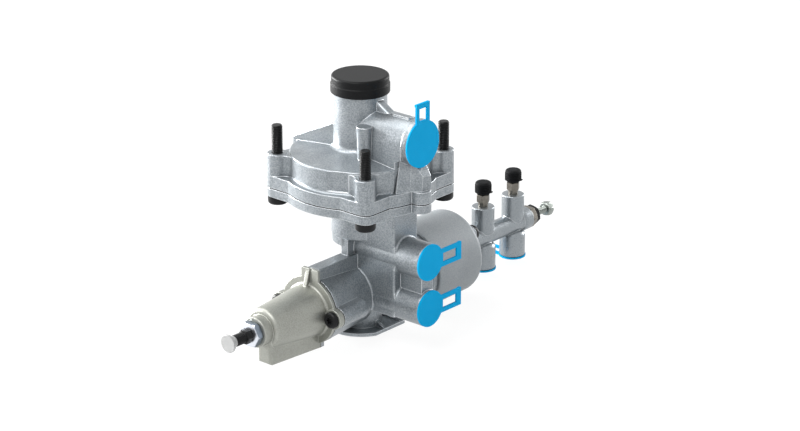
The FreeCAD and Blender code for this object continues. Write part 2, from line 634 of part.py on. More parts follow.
def make_flange_bolt(x, y):
    """M8 bolt from below: domed pan head, shank through both flanges, free end as a stud."""
    head_z = LOWER_FLANGE_Z - BOLT_HEAD_HEIGHT
    return turned([(0, head_z, 0), (BOLT_HEAD_RADIUS, head_z, BOLT_HEAD_DOME),
                   (BOLT_HEAD_RADIUS, LOWER_FLANGE_Z, 0), (SHANK_RADIUS, LOWER_FLANGE_Z, 0),
                   (SHANK_RADIUS, POST_TOP_Z, 0), (STUD_RADIUS, POST_TOP_Z, 0),
                   (STUD_RADIUS, STUD_TIP_Z - STUD_CHAMFER, 0),
                   (STUD_RADIUS - STUD_CHAMFER, STUD_TIP_Z, 0), (0, STUD_TIP_Z, 0)], UP, Vector(x, y, 0))


def make_neck_cap():
    """Plastic cap pushed over the neck: rounded top edge and a wider bead round its skirt."""
    bore = NECK_RADIUS + SLIP
    return turned([(0, CAP_TOP_Z - CAP_TOP_WALL, 0), (bore, CAP_TOP_Z - CAP_TOP_WALL, 0),
                   (bore, CAP_BOTTOM_Z, 0), (CAP_BEAD_RADIUS, CAP_BOTTOM_Z, 0.8),
                   (CAP_BEAD_RADIUS, CAP_BEAD_TOP_Z, 0.3), (CAP_RADIUS, CAP_BEAD_TOP_Z + 0.6, 0.3),
                   (CAP_RADIUS, CAP_TOP_Z, CAP_EDGE), (0, CAP_TOP_Z, 0)])


def make_pilot_piston():
    """Cup-shaped piston that the pilot spring holds down on the neck's floor."""
    radius = NECK_BORE_RADIUS - RUNNING
    low = NECK_FLOOR_Z + RUNNING
    return turned([(0, low, 0), (radius, low, 0), (radius, low + PILOT_PISTON_HEIGHT, 0.4),
                   (radius - NECK_WALL, low + PILOT_PISTON_HEIGHT, 0),
                   (radius - NECK_WALL, low + PILOT_PISTON_HEIGHT / 2, 0), (0, low + PILOT_PISTON_HEIGHT / 2, 0)])


def make_pilot_screw():
    """Disc threaded into the neck above the pilot spring, with a hexagon socket."""
    radius = NECK_BORE_RADIUS - RUNNING
    top = NECK_TOP_Z - PILOT_SCREW_TOP_GAP
    disc = turned([(0, top - PILOT_SCREW_HEIGHT, 0), (radius, top - PILOT_SCREW_HEIGHT, 0.5),
                   (radius, top, 0.5), (0, top, 0)])
    socket = hexagon(PILOT_SCREW_KEY * 2, Vector(0, 0, top - PILOT_SCREW_HEIGHT / 2), Vector(0, 0, top + 1))
    return disc.cut(socket)


def coil_spring(radius, wire, turns, low, high):
    """Compression spring along Z with its end coils laid flat enough to seat."""
    height = high - low - 2 * wire
    helix = Part.makeHelix(height / turns, height, radius)
    section = [Vector(radius + wire * math.cos(math.radians(60 * step)), 0,
                      wire * math.sin(math.radians(60 * step))) for step in range(6)]
    ring = Part.makePolygon(section + section[:1])
    spring = Part.Wire(helix.Edges).makePipeShell([ring], True, True)
    spring.Placement = Placement(Vector(0, 0, low + wire), Rotation())
    return spring


def make_pilot_spring():
    """Spring between the pilot piston and the pilot screw."""
    low = NECK_FLOOR_Z + RUNNING + PILOT_PISTON_HEIGHT / 2
    high = NECK_TOP_Z - PILOT_SCREW_TOP_GAP - PILOT_SCREW_HEIGHT
    return coil_spring(NECK_BORE_RADIUS - NECK_WALL - SPRING_WIRE - 1.5, SPRING_WIRE, 5,
                       low + RUNNING, high - RUNNING)


def make_control_piston():
    """Control piston: a disc on radial vanes that stand on the diaphragm, with a hollow hub."""
    low = SPLIT_TOP_Z + RUNNING
    top = low + CONTROL_VANE_HEIGHT + CONTROL_PISTON_THICKNESS
    under = top - CONTROL_PISTON_THICKNESS
    disc = turned([(0, under, 0), (CONTROL_PISTON_RADIUS, under, 0), (CONTROL_PISTON_RADIUS, top, 1.0), (0, top, 0)])
    hub = bar(RELAY_STEM_RADIUS + 2, Vector(0, 0, low), Vector(0, 0, top))
    vane = block((0, CONTROL_PISTON_RADIUS - 1), (-0.8, 0.8), (low, top - 1))
    vanes = []
    for step in range(CONTROL_PISTON_VANES):
        blade = vane.copy()
        blade.rotate(Vector(0, 0, 0), UP, 360 / CONTROL_PISTON_VANES * step)
        vanes.append(blade)
    bore = bar(TAPPET_BORE_RADIUS + 1, Vector(0, 0, SPLIT_TOP_Z - 1), Vector(0, 0, top - CONTROL_PISTON_THICKNESS))
    return cut_from(joined(disc, hub, *vanes), bore)


def regulator_face(start, thickness, pad_x, pad_top, bore=0.0):
    """Outline of the barrel, screw lobes and top pad at the gasket, as a plate along -Y."""
    end = start - thickness
    disc = bar(BARREL_RADIUS, long_axis(start), long_axis(end))
    lobes = [bar(SCREW_LOBE_RADIUS, long_axis(start, side * COVER_SCREW_X), long_axis(end, side * COVER_SCREW_X))
             for side in (-1, 1)]
    bridge = block((-COVER_SCREW_X, COVER_SCREW_X), (end, start),
                   (AXIS_Z - SCREW_LOBE_RADIUS, AXIS_Z + SCREW_LOBE_RADIUS))
    pad = prism([(Vector(pad_x[0], start, AXIS_Z), 0), (Vector(pad_x[1], start, AXIS_Z), 0),
                 (Vector(pad_x[1], start, pad_top), DUCT_EDGE), (Vector(pad_x[0], start, pad_top), DUCT_EDGE)],
                BACK * -thickness)
    foot = block(COVER_BLOCK_X, (end, start), (COVER_BLOCK_RIM_Z, AXIS_Z))
    plate = joined(disc, pad, foot, bridge, *lobes)
    if bore:
        plate = plate.cut(bar(bore, long_axis(start + 1), long_axis(end - 1)))
    return plate


def front_barrel():
    """Outside of the front spring barrel with its duct and screw lobes."""
    root = -COLUMN_HALF_WIDTH + 1
    barrel = taper(BARREL_ROOT_RADIUS, BARREL_RADIUS, long_axis(root), long_axis(BODY_GASKET_Y))
    left, right = DUCT_X
    foot_z = AXIS_Z + math.sqrt(BARREL_ROOT_RADIUS ** 2 - (right + DUCT_FILLET) ** 2)
    duct = prism([(Vector(left - DUCT_FILLET, root, AXIS_Z), 0), (Vector(right + DUCT_FILLET, root, AXIS_Z), 0),
                  (Vector(right + DUCT_FILLET, root, foot_z), 0), (Vector(right, root, foot_z), DUCT_FILLET * 0.98),
                  (Vector(right, root, DUCT_TOP_Z), DUCT_EDGE), (Vector(left, root, DUCT_TOP_Z), DUCT_EDGE),
                  (Vector(left, root, foot_z), DUCT_FILLET * 0.98), (Vector(left - DUCT_FILLET, root, foot_z), 0)],
                 BACK * (BODY_GASKET_Y - root))
    rim = regulator_face(BODY_GASKET_Y + BARREL_RIM_REACH, BARREL_RIM_REACH, DUCT_X, DUCT_TOP_Z)
    lobes = []
    for side in (-1, 1):
        end = BODY_GASKET_Y + SCREW_LOBE_LENGTH
        lobe = turned([(0, BODY_GASKET_Y, 0), (SCREW_LOBE_RADIUS, BODY_GASKET_Y, 0),
                       (SCREW_LOBE_RADIUS, end, SCREW_LOBE_RADIUS * 0.5), (0, end, 0)],
                      BACK, Vector(side * COVER_SCREW_X, 0, AXIS_Z))
        lobes.append(lobe)
    bridge = block((-COVER_SCREW_X, COVER_SCREW_X), (BODY_GASKET_Y, BODY_GASKET_Y + SCREW_LOBE_LENGTH - 3),
                   (AXIS_Z - SCREW_LOBE_RADIUS, AXIS_Z + SCREW_LOBE_RADIUS))
    wall = block(COLUMN_X, (BODY_GASKET_Y, 0), (COLUMN_BOTTOM_Z, LOWER_FLANGE_Z))
    flare = root_fillet(BARREL_ROOT_RADIUS, ROOT_FILLET, BACK * -1, long_axis(-COLUMN_HALF_WIDTH)).common(wall)
    return joined(barrel, duct, rim, bridge, flare, *lobes)


def side_ports():
    """Two side port bosses and the web between them."""
    parts = []
    for z in (SIDE_PORT_UPPER_Z, SIDE_PORT_LOWER_Z):
        parts.append(turned([(0, 0, 0), (SIDE_PORT_RADIUS, 0, 0), (SIDE_PORT_RADIUS, SIDE_PORT_FACE_X, 0.8),
                             (0, SIDE_PORT_FACE_X, 0)], RIGHT, Vector(0, 0, z)))
        wall = block((0, SIDE_PORT_FACE_X), (-COLUMN_HALF_WIDTH, COLUMN_HALF_WIDTH),
                     (COLUMN_BOTTOM_Z, LOWER_FLANGE_Z))
        parts.append(root_fillet(SIDE_PORT_RADIUS, ROOT_FILLET, RIGHT, Vector(COLUMN_X[1], 0, z)).common(wall))
    web = block((0, SIDE_PORT_WEB_X), (-SIDE_PORT_WEB_HALF, SIDE_PORT_WEB_HALF),
                (SIDE_PORT_LOWER_Z, SIDE_PORT_UPPER_Z))
    return joined(web, *parts)


def rear_seat():
    """Neck and flange that carry the rear cylinder."""
    front, back = REAR_FLANGE_Y
    return turned([(0, 0, 0), (REAR_NECK_RADIUS, 0, 0), (REAR_NECK_RADIUS, front, 3.0),
                   (REAR_FLANGE_RADIUS, front, 1.5), (REAR_FLANGE_RADIUS, back, 0),
                   (CYLINDER_BORE_RADIUS - SLIP, back, 0),
                   (CYLINDER_BORE_RADIUS - SLIP, back + REAR_SPIGOT_LENGTH, 0.5),
                   (0, back + REAR_SPIGOT_LENGTH, 0)], BACK, long_axis(0))


def exhaust_end():
    """Exhaust boss and the thin plate at its foot, with a raised rim and ribs up to the boss."""
    boss = bar(EXHAUST_BOSS_RADIUS, Vector(0, 0, COLUMN_BOTTOM_Z + 5), Vector(0, 0, EXHAUST_PLATE_Z))
    rim_z = EXHAUST_PLATE_Z + EXHAUST_RIM_HEIGHT
    inner = exhaust_outline(EXHAUST_PLATE_Z, rim_z + 1, EXHAUST_RIM_WIDTH)
    rim = exhaust_outline(EXHAUST_PLATE_Z, rim_z, 0).cut(inner)
    half = EXHAUST_RIB_THICKNESS / 2
    ribs = []
    for turn in range(EXHAUST_RIBS):
        inside = Vector(EXHAUST_BOSS_RADIUS - 1, -half, EXHAUST_PLATE_Z)
        rib = prism([(inside, 0), (Vector(EXHAUST_PLATE_X - 1, -half, EXHAUST_PLATE_Z), 0),
                     (inside + UP * EXHAUST_RIB_HEIGHT, 0)], BACK * EXHAUST_RIB_THICKNESS)
        rib.rotate(Vector(0, 0, 0), UP, 360 / EXHAUST_RIBS * turn)
        ribs.append(rib.common(exhaust_outline(EXHAUST_PLATE_Z, EXHAUST_PLATE_Z + EXHAUST_RIB_HEIGHT,
                                               EXHAUST_RIM_WIDTH / 2)))
    return joined(exhaust_outline(EXHAUST_BOTTOM_Z, EXHAUST_PLATE_Z, 0), boss, rim, *ribs)


def exhaust_outline(low, high, inset):
    """Outline of the exhaust plate: round at the front, square-cornered at the port side."""
    disc = bar(EXHAUST_PLATE_RADIUS - inset, Vector(0, 0, low), Vector(0, 0, high))
    reach = EXHAUST_PLATE_X - inset
    back = EXHAUST_PLATE_BACK_Y - inset
    side = block((-reach, reach), (-EXHAUST_PLATE_RADIUS, back), (low, high))
    corner = block((0, reach), (0, back), (low, high))
    return joined(disc.common(side), corner)


def body_bores():
    """Everything that is bored or cored out of the lower housing."""
    dish_z = SPLIT_BOTTOM_Z - DISH_DEPTH
    neck = [bar(DISH_RADIUS, Vector(0, 0, dish_z), Vector(0, 0, SPLIT_BOTTOM_Z + 1)),
            bar(RELAY_RADIUS, Vector(0, 0, RELAY_CHAMBER_BOTTOM_Z), Vector(0, 0, SPLIT_BOTTOM_Z + 1)),
            bar(VALVE_CHAMBER_RADIUS, Vector(0, 0, SEAT_Z), Vector(0, 0, RELAY_CHAMBER_BOTTOM_Z + 1)),
            bar(SEAT_RADIUS, Vector(0, 0, SEAT_BOTTOM_Z - 1), Vector(0, 0, SEAT_Z + 1)),
            bar(VALVE_CHAMBER_RADIUS, Vector(0, 0, VALVE_FLOOR_Z), Vector(0, 0, SEAT_BOTTOM_Z)),
            bar(VALVE_STEM_RADIUS + RUNNING, Vector(0, 0, AXIS_Z), Vector(0, 0, VALVE_FLOOR_Z + 1))]
    ports = []
    for z in (SIDE_PORT_UPPER_Z, SIDE_PORT_LOWER_Z):
        face = Vector(SIDE_PORT_FACE_X + 1, 0, z)
        ports.append(bar(SMALL_BORE_RADIUS, Vector(SIDE_PORT_FACE_X - SMALL_BORE_DEPTH, 0, z), face))
    ports.append(bar(SIDE_PASSAGE_RADIUS, Vector(0, 0, SIDE_PORT_UPPER_Z),
                     Vector(SIDE_PORT_FACE_X, 0, SIDE_PORT_UPPER_Z)))
    ports.append(bar(SIDE_PASSAGE_RADIUS, Vector(SUPPLY_DUCT_X - SIDE_PASSAGE_RADIUS, 0, SIDE_PORT_LOWER_Z),
                     Vector(SIDE_PORT_FACE_X, 0, SIDE_PORT_LOWER_Z)))
    ports.append(bar(SIDE_PASSAGE_RADIUS, Vector(SUPPLY_DUCT_X, 0, SIDE_PORT_LOWER_Z),
                     Vector(SUPPLY_DUCT_X, 0, SUPPLY_DUCT_Z)))
    ports.append(bar(SIDE_PASSAGE_RADIUS, Vector(0, 0, SUPPLY_DUCT_Z),
                     Vector(SUPPLY_DUCT_X + SIDE_PASSAGE_RADIUS, 0, SUPPLY_DUCT_Z)))
    back = REAR_FLANGE_Y[1] + REAR_SPIGOT_LENGTH + 1
    axis = [bar(SPRING_BORE_RADIUS, long_axis(BODY_GASKET_Y - 1), long_axis(SPRING_BORE_END_Y)),
            bar(CAM_BORE_RADIUS, long_axis(SPRING_BORE_END_Y - 1), long_axis(CAM_BORE_END_Y)),
            bar(ROD_RADIUS + SLIP * 2, long_axis(CAM_BORE_END_Y - 1), long_axis(back)),
            bar(GUIDE_OUTER_RADIUS, long_axis(back - GUIDE_LENGTH - 1), long_axis(back))]
    exhaust = [bar(EXHAUST_BORE_RADIUS, Vector(0, 0, EXHAUST_BOTTOM_Z - 1), long_axis(0)),
               bar(EXHAUST_SEAT_RADIUS, Vector(0, 0, EXHAUST_BOTTOM_Z - 1),
                   Vector(0, 0, EXHAUST_BOTTOM_Z + EXHAUST_SEAT_DEPTH))]
    screws = [bar(COVER_SCREW_RADIUS, long_axis(BODY_GASKET_Y - 1, side * COVER_SCREW_X),
                  long_axis(BODY_GASKET_Y + COVER_SCREW_LENGTH, side * COVER_SCREW_X)) for side in (-1, 1)]
    return neck + ports + axis + exhaust + screws + stud_holes(LOWER_FLANGE_Z - 1, SPLIT_BOTTOM_Z + 1)


def make_lower_housing():
    """Die-cast lower housing with every bore cut in one pass."""
    plate = flange(LOWER_FLANGE_Z, SPLIT_BOTTOM_Z)
    collar = turned([(0, COLLAR_BOTTOM_Z, 0), (COLLAR_RADIUS, COLLAR_BOTTOM_Z, 1.5),
                     (COLLAR_RADIUS, LOWER_FLANGE_Z + 1, 0), (0, LOWER_FLANGE_Z + 1, 0)])
    half = COLUMN_HALF_WIDTH
    column = prism([(Vector(COLUMN_X[0], -half, COLUMN_BOTTOM_Z), COLUMN_EDGE),
                    (Vector(COLUMN_X[1], -half, COLUMN_BOTTOM_Z), COLUMN_EDGE),
                    (Vector(COLUMN_X[1], half, COLUMN_BOTTOM_Z), COLUMN_EDGE),
                    (Vector(COLUMN_X[0], half, COLUMN_BOTTOM_Z), COLUMN_EDGE)],
                   UP * (LOWER_FLANGE_Z + 1 - COLUMN_BOTTOM_Z))
    rib = block(COLUMN_RIB_X, (COLUMN_RIB_FRONT_Y, 0), (DUCT_TOP_Z - 1, COLLAR_BOTTOM_Z + 1))
    band = turned([(0, COLLAR_BAND_BOTTOM_Z, 0), (COLLAR_BAND_RADIUS, COLLAR_BAND_BOTTOM_Z, 1.5),
                   (COLLAR_BAND_RADIUS, COLLAR_BOTTOM_Z + 1, 0), (0, COLLAR_BOTTOM_Z + 1, 0)])
    band = band.common(block((-COLLAR_RADIUS, COLUMN_RIB_X[0] + 1), (-COLLAR_RADIUS, COLLAR_RADIUS),
                             (COLLAR_BAND_BOTTOM_Z, LOWER_FLANGE_Z)))
    body = joined(plate, collar, column, rib, band, side_ports(), front_barrel(), rear_seat(), exhaust_end())
    return cut_from(body, *body_bores())


def make_cover_gasket():
    """Gasket between the barrel and the regulator cover."""
    holes = [bar(COVER_SCREW_RADIUS + SLIP, long_axis(BODY_GASKET_Y + 1, side * COVER_SCREW_X),
                 long_axis(COVER_GASKET_Y - 1, side * COVER_SCREW_X)) for side in (-1, 1)]
    sheet = regulator_face(BODY_GASKET_Y, GASKET_THICKNESS, DUCT_X, DUCT_TOP_Z, SPRING_BORE_RADIUS)
    return cut_from(sheet, *holes)


def make_regulator_cover():
    """Cover of the balance spring: rim, cone and nose, screw bosses, top pad and the block below."""
    rim_y = COVER_GASKET_Y - COVER_RIM_THICKNESS
    plate = regulator_face(COVER_GASKET_Y, COVER_RIM_THICKNESS, PAD_X, PAD_TOP_Z)
    bosses = [bar(SCREW_LOBE_RADIUS, long_axis(COVER_GASKET_Y, side * COVER_SCREW_X),
                  long_axis(COVER_BOSS_Y, side * COVER_SCREW_X)) for side in (-1, 1)]
    cone = turned([(0, -COVER_GASKET_Y, 0), (COVER_CONE_RADIUS + COVER_FOOT_FILLET, -COVER_GASKET_Y, 0),
                   (COVER_CONE_RADIUS + COVER_FOOT_FILLET, -rim_y, 0),
                   (COVER_CONE_RADIUS, -rim_y, COVER_FOOT_FILLET * 0.9),
                   (COVER_CONE_END_RADIUS, -COVER_SHOULDER_Y, COVER_SHOULDER_ROUND),
                   (COVER_NOSE_RADIUS, -COVER_SHOULDER_Y, 0), (COVER_NOSE_RADIUS, -COVER_NOSE_Y, 0.8),
                   (0, -COVER_NOSE_Y, 0)], BACK * -1, long_axis(0))
    low, high = COVER_BLOCK_X
    keel = prism([(Vector(low, COVER_GASKET_Y, COVER_BLOCK_RIM_Z), 0), (Vector(low, COVER_GASKET_Y, AXIS_Z), 0),
                  (Vector(low, COVER_BLOCK_END_Y, AXIS_Z), 0),
                  (Vector(low, COVER_BLOCK_END_Y, COVER_BLOCK_END_Z), COVER_BLOCK_EDGE)], RIGHT * (high - low))
    plan = prism([(Vector(low, COVER_GASKET_Y, COVER_BLOCK_RIM_Z), 0),
                  (Vector(high, COVER_GASKET_Y, COVER_BLOCK_RIM_Z), 0),
                  (Vector(high, COVER_BLOCK_END_Y, COVER_BLOCK_RIM_Z), COVER_BLOCK_EDGE),
                  (Vector(low, COVER_BLOCK_END_Y, COVER_BLOCK_RIM_Z), COVER_BLOCK_EDGE)],
                 UP * (AXIS_Z - COVER_BLOCK_RIM_Z))
    rib = prism([(Vector(COVER_RIB_X[0], rim_y, AXIS_Z), 0), (Vector(COVER_RIB_X[0], COVER_RIB_END_Y, AXIS_Z), 0),
                 (Vector(COVER_RIB_X[0], COVER_RIB_END_Y, AXIS_Z + COVER_CONE_RADIUS - 2), 0),
                 (Vector(COVER_RIB_X[0], rim_y, PAD_TOP_Z - 1), 0)], RIGHT * (COVER_RIB_X[1] - COVER_RIB_X[0]))
    body = joined(plate, cone, keel.common(plan), rib, *bosses)
    groove = block(PAD_GROOVE_X, (rim_y - 1, rim_y + PAD_GROOVE_DEPTH), (PAD_GROOVE_Z, PAD_TOP_Z + 1))
    body = body.cut(groove)
    inner = turned([(0, -COVER_GASKET_Y - 1, 0), (SPRING_BORE_RADIUS - 1, -COVER_GASKET_Y - 1, 0),
                    (COVER_CONE_END_RADIUS - COVER_WALL, -COVER_SHOULDER_Y - COVER_WALL, 1.0),
                    (0, -COVER_SHOULDER_Y - COVER_WALL, 0)], BACK * -1, long_axis(0))
    nose = bar(ADJUSTER_RADIUS + ADJUSTER_CLEARANCE, long_axis(COVER_GASKET_Y), long_axis(COVER_NOSE_Y - 1))
    holes = [bar(COVER_SCREW_RADIUS + SLIP, long_axis(COVER_GASKET_Y + 1, side * COVER_SCREW_X),
                 long_axis(COVER_BOSS_Y - 1, side * COVER_SCREW_X)) for side in (-1, 1)]
    return cut_from(body, inner, nose, *holes)


def make_pan_screw(place, outward, length, radius=COVER_SCREW_RADIUS):
    """M6 pan head screw seated at place, its head standing outward and its shank inward."""
    recess = PAN_HEAD_HEIGHT * 0.55
    key = PAN_HEAD_RADIUS * 0.45
    return turned([(0, -length, 0), (radius - 0.5, -length, 0), (radius, -length + 0.5, 0), (radius, 0, 0),
                   (PAN_HEAD_RADIUS, 0, 0.3), (PAN_HEAD_RADIUS, PAN_HEAD_HEIGHT, PAN_HEAD_DOME),
                   (key, PAN_HEAD_HEIGHT, 0), (key * 0.8, PAN_HEAD_HEIGHT - recess, 0),
                   (0, PAN_HEAD_HEIGHT - recess, 0)], outward, place)


def make_adjusting_screw():
    """Adjusting screw: plate on the balance spring, threaded stem, hexagon collar, stub end."""
    stem = bar(ADJUSTER_RADIUS, long_axis(ADJUSTER_INNER_Y), long_axis(ADJUSTER_END_Y + END_CAP_SKIRT))
    stub = bar(ADJUSTER_RADIUS - 0.8, long_axis(ADJUSTER_END_Y + END_CAP_SKIRT), long_axis(ADJUSTER_END_Y))
    plate = bar(ADJUSTER_PLATE_RADIUS, long_axis(ADJUSTER_INNER_Y + ADJUSTER_PLATE_THICKNESS),
                long_axis(ADJUSTER_INNER_Y))
    collar = hexagon(ADJUSTER_COLLAR_ACROSS_FLATS, long_axis(COVER_NOSE_Y - LOCKNUT_HEIGHT - SLIP),
                     long_axis(ADJUSTER_COLLAR_END_Y), chamfer=0.5)
    return joined(stem, stub, plate, collar)


def make_adjuster_locknut():
    """Hexagon locknut that jams the adjusting screw against the nose."""
    return hexagon(LOCKNUT_ACROSS_FLATS, long_axis(COVER_NOSE_Y), long_axis(COVER_NOSE_Y - LOCKNUT_HEIGHT),
                   hollow=ADJUSTER_RADIUS + ADJUSTER_CLEARANCE, chamfer=LOCKNUT_CHAMFER, turn=0.0)


def make_adjuster_end_cap():
    """White cap pressed on the stub end of the adjusting screw."""
    end = ADJUSTER_END_Y - END_CAP_LENGTH
    bore = ADJUSTER_RADIUS - 0.8
    cap = turned([(0, 0, 0), (END_CAP_RADIUS, 0, 0.5), (END_CAP_RADIUS, END_CAP_LENGTH, 0.3),
                  (bore + 0.8, END_CAP_LENGTH, 0), (bore + 0.8, END_CAP_LENGTH + END_CAP_SKIRT, 0),
                  (bore, END_CAP_LENGTH + END_CAP_SKIRT, 0), (bore, END_CAP_LENGTH, 0), (0, END_CAP_LENGTH, 0)],
                 BACK, long_axis(end))
    return cap


def plug(radius, bore, loop, face, outward, loop_way):
    """Push-in port plug: disc on the boss, hollow stem in the bore and a pull loop at its edge."""
    stem = bore - SLIP
    body = turned([(0, -PLUG_STEM_WALL, 0), (stem - PLUG_STEM_WALL, -PLUG_STEM_WALL, 0),
                   (stem - PLUG_STEM_WALL, -PLUG_STEM_LENGTH, 0), (stem, -PLUG_STEM_LENGTH, 0.4),
                   (stem, 0, 0), (radius, 0, 0), (radius, PLUG_DISC_THICKNESS, 0.3),
                   (0, PLUG_DISC_THICKNESS, 0)])
    half = loop["width"] / 2
    reach = radius + loop["reach"]
    tab = block((0, reach), (-half, half), (0, PLUG_DISC_THICKNESS))
    window = block((radius, reach - loop["grip"]), (-half + loop["bar"], half - loop["bar"]),
                   (-1, PLUG_DISC_THICKNESS + 1))
    inside = math.sqrt(radius ** 2 - half ** 2) - 1
    tab = tab.cut([window, block((-1, inside), (-half - 1, half + 1), (-1, PLUG_DISC_THICKNESS + 1))])
    lip = block((reach - loop["grip"] / 2, reach), (-half, half), (-PLUG_DISC_THICKNESS / 2, PLUG_DISC_THICKNESS))
    solid = joined(body, tab, lip)
    across = outward.cross(loop_way)
    turn = FreeCAD.Matrix(loop_way.x, across.x, outward.x, face.x, loop_way.y, across.y, outward.y, face.y,
                          loop_way.z, across.z, outward.z, face.z, 0, 0, 0, 1)
    solid.Placement = Placement(turn)
    return solid


def make_exhaust_flap():
    """Rubber flap over the exhaust bore."""
    seat = EXHAUST_BOTTOM_Z + EXHAUST_SEAT_DEPTH
    return bar(EXHAUST_SEAT_RADIUS - SLIP, Vector(0, 0, seat - FLAP_THICKNESS), Vector(0, 0, seat))


def make_exhaust_ring():
    """Snap ring that holds the flap at its edge."""
    top = EXHAUST_BOTTOM_Z + EXHAUST_SEAT_DEPTH - FLAP_THICKNESS
    return turned([(FLAP_RING_BORE, top - FLAP_RING_HEIGHT, 0), (EXHAUST_SEAT_RADIUS, top - FLAP_RING_HEIGHT, 0),
                   (EXHAUST_SEAT_RADIUS, top, 0), (FLAP_RING_BORE, top, 0)])


def make_relay_piston():
    """Relay piston: grooved head and a hollow stem whose end is the exhaust seat."""
    radius = RELAY_RADIUS - SLIP
    groove = RELAY_SEAL_WIRE * 2
    middle = RELAY_TOP_Z - RELAY_THICKNESS / 2
    bottom = VALVE_TOP_Z + RUNNING
    return turned([(TAPPET_BORE_RADIUS, bottom, 0), (RELAY_STEM_RADIUS, bottom, 0.4),
                   (RELAY_STEM_RADIUS, RELAY_BOTTOM_Z, 1.5), (radius, RELAY_BOTTOM_Z, 0),
                   (radius, middle - groove / 2, 0), (radius - groove * 0.8, middle - groove / 2, 0),
                   (radius - groove * 0.8, middle + groove / 2, 0), (radius, middle + groove / 2, 0),
                   (radius, RELAY_TOP_Z, 0.4), (TAPPET_BORE_RADIUS, RELAY_TOP_Z, 0)])


def make_relay_piston_seal():
    """Ring in the relay piston's groove."""
    middle = RELAY_TOP_Z - RELAY_THICKNESS / 2
    outer = RELAY_RADIUS - RUNNING
    return turned([(outer - RELAY_SEAL_WIRE * 1.5, middle - RELAY_SEAL_WIRE * 0.9, 0.3),
                   (outer, middle - RELAY_SEAL_WIRE * 0.9, 0.3), (outer, middle + RELAY_SEAL_WIRE * 0.9, 0.3),
                   (outer - RELAY_SEAL_WIRE * 1.5, middle + RELAY_SEAL_WIRE * 0.9, 0.3)])


def make_relay_valve():
    """Double-seat valve: rubber-faced head under the inlet seat and a hollow guide stem."""
    low = AXIS_Z + CAM_BORE_RADIUS - RELAY_TRAVEL * 0.2
    under = VALVE_TOP_Z - VALVE_HEAD_THICKNESS
    return turned([(TAPPET_BORE_RADIUS, low, 0), (VALVE_STEM_RADIUS, low, 0), (VALVE_STEM_RADIUS, under, 0.6),
                   (VALVE_RADIUS, under, 0.4), (VALVE_RADIUS, VALVE_TOP_Z, 0.4),
                   (TAPPET_BORE_RADIUS, VALVE_TOP_Z, 0)])


def make_relay_valve_spring():
    """Spring that holds the relay valve up on its seat."""
    wire = 0.7
    return coil_spring((VALVE_STEM_RADIUS + VALVE_CHAMBER_RADIUS) / 2, wire, 3, VALVE_FLOOR_Z + RUNNING,
                       VALVE_TOP_Z - VALVE_HEAD_THICKNESS - RUNNING)


def make_valve_tappet():
    """Tappet that rides on the cam with its round end and reaches up to the diaphragm."""
    foot = CAM_TOUCH_Z + SLIP
    return turned([(0, foot, 0), (TAPPET_RADIUS, foot, TAPPET_RADIUS), (TAPPET_RADIUS, TAPPET_TOP_Z, 0.8),
                   (0, TAPPET_TOP_Z, 0)])


def make_load_rod():
    """Load rod: turned bar from the spring plate to the load piston, with the cam in one piece."""
    rod = bar(ROD_RADIUS, long_axis(ROD_FRONT_Y), long_axis(LOAD_PISTON_Y[0]))
    cam = bar(CAM_RADIUS, long_axis(CAM_START_Y), long_axis(CAM_END_Y))
    top = AXIS_Z + CAM_RADIUS + 1
    start_z = CAM_TOUCH_Z + CAM_SLOPE * (CAM_START_Y - 1)
    end_z = CAM_TOUCH_Z + CAM_SLOPE * (CAM_END_Y + 1)
    wedge = prism([(Vector(-CAM_RADIUS - 1, CAM_START_Y - 1, start_z), 0),
                   (Vector(-CAM_RADIUS - 1, CAM_END_Y + 1, end_z), 0),
                   (Vector(-CAM_RADIUS - 1, CAM_END_Y + 1, top), 0),
                   (Vector(-CAM_RADIUS - 1, CAM_START_Y - 1, top), 0)], RIGHT * (2 * CAM_RADIUS + 2))
    return joined(rod, cam).cut(wedge)


def make_rod_guide():
    """Bearing bush pressed into the rear of the lower housing."""
    back = REAR_FLANGE_Y[1] + REAR_SPIGOT_LENGTH
    return turned([(ROD_RADIUS + RUNNING, back - GUIDE_LENGTH, 0), (GUIDE_OUTER_RADIUS, back - GUIDE_LENGTH, 0),
                   (GUIDE_OUTER_RADIUS, back, 0.5), (ROD_RADIUS + RUNNING, back, 0)], BACK, long_axis(0))


def make_load_piston():
    """Load piston: a disc with a seal groove and a hollow back."""
    front, back = LOAD_PISTON_Y
    radius = CYLINDER_BORE_RADIUS - SLIP
    groove = LOAD_PISTON_SEAL_WIRE * 2
    middle = (front + back) / 2
    return turned([(0, front, 0), (radius, front, 0.5), (radius, middle - groove / 2, 0),
                   (radius - groove * 0.8, middle - groove / 2, 0), (radius - groove * 0.8, middle + groove / 2, 0),
                   (radius, middle + groove / 2, 0), (radius, back, 0.5), (radius - CYLINDER_WALL * 2, back, 0),
                   (radius - CYLINDER_WALL * 2, middle, 1.0), (0, middle, 0)], BACK, long_axis(0))


def make_load_piston_seal():
    """Ring in the load piston's groove."""
    middle = sum(LOAD_PISTON_Y) / 2
    outer = CYLINDER_BORE_RADIUS - RUNNING
    wire = LOAD_PISTON_SEAL_WIRE
    return turned([(outer - wire * 1.5, middle - wire * 0.9, 0.4), (outer, middle - wire * 0.9, 0.4),
                   (outer, middle + wire * 0.9, 0.4), (outer - wire * 1.5, middle + wire * 0.9, 0.4)],
                  BACK, long_axis(0))


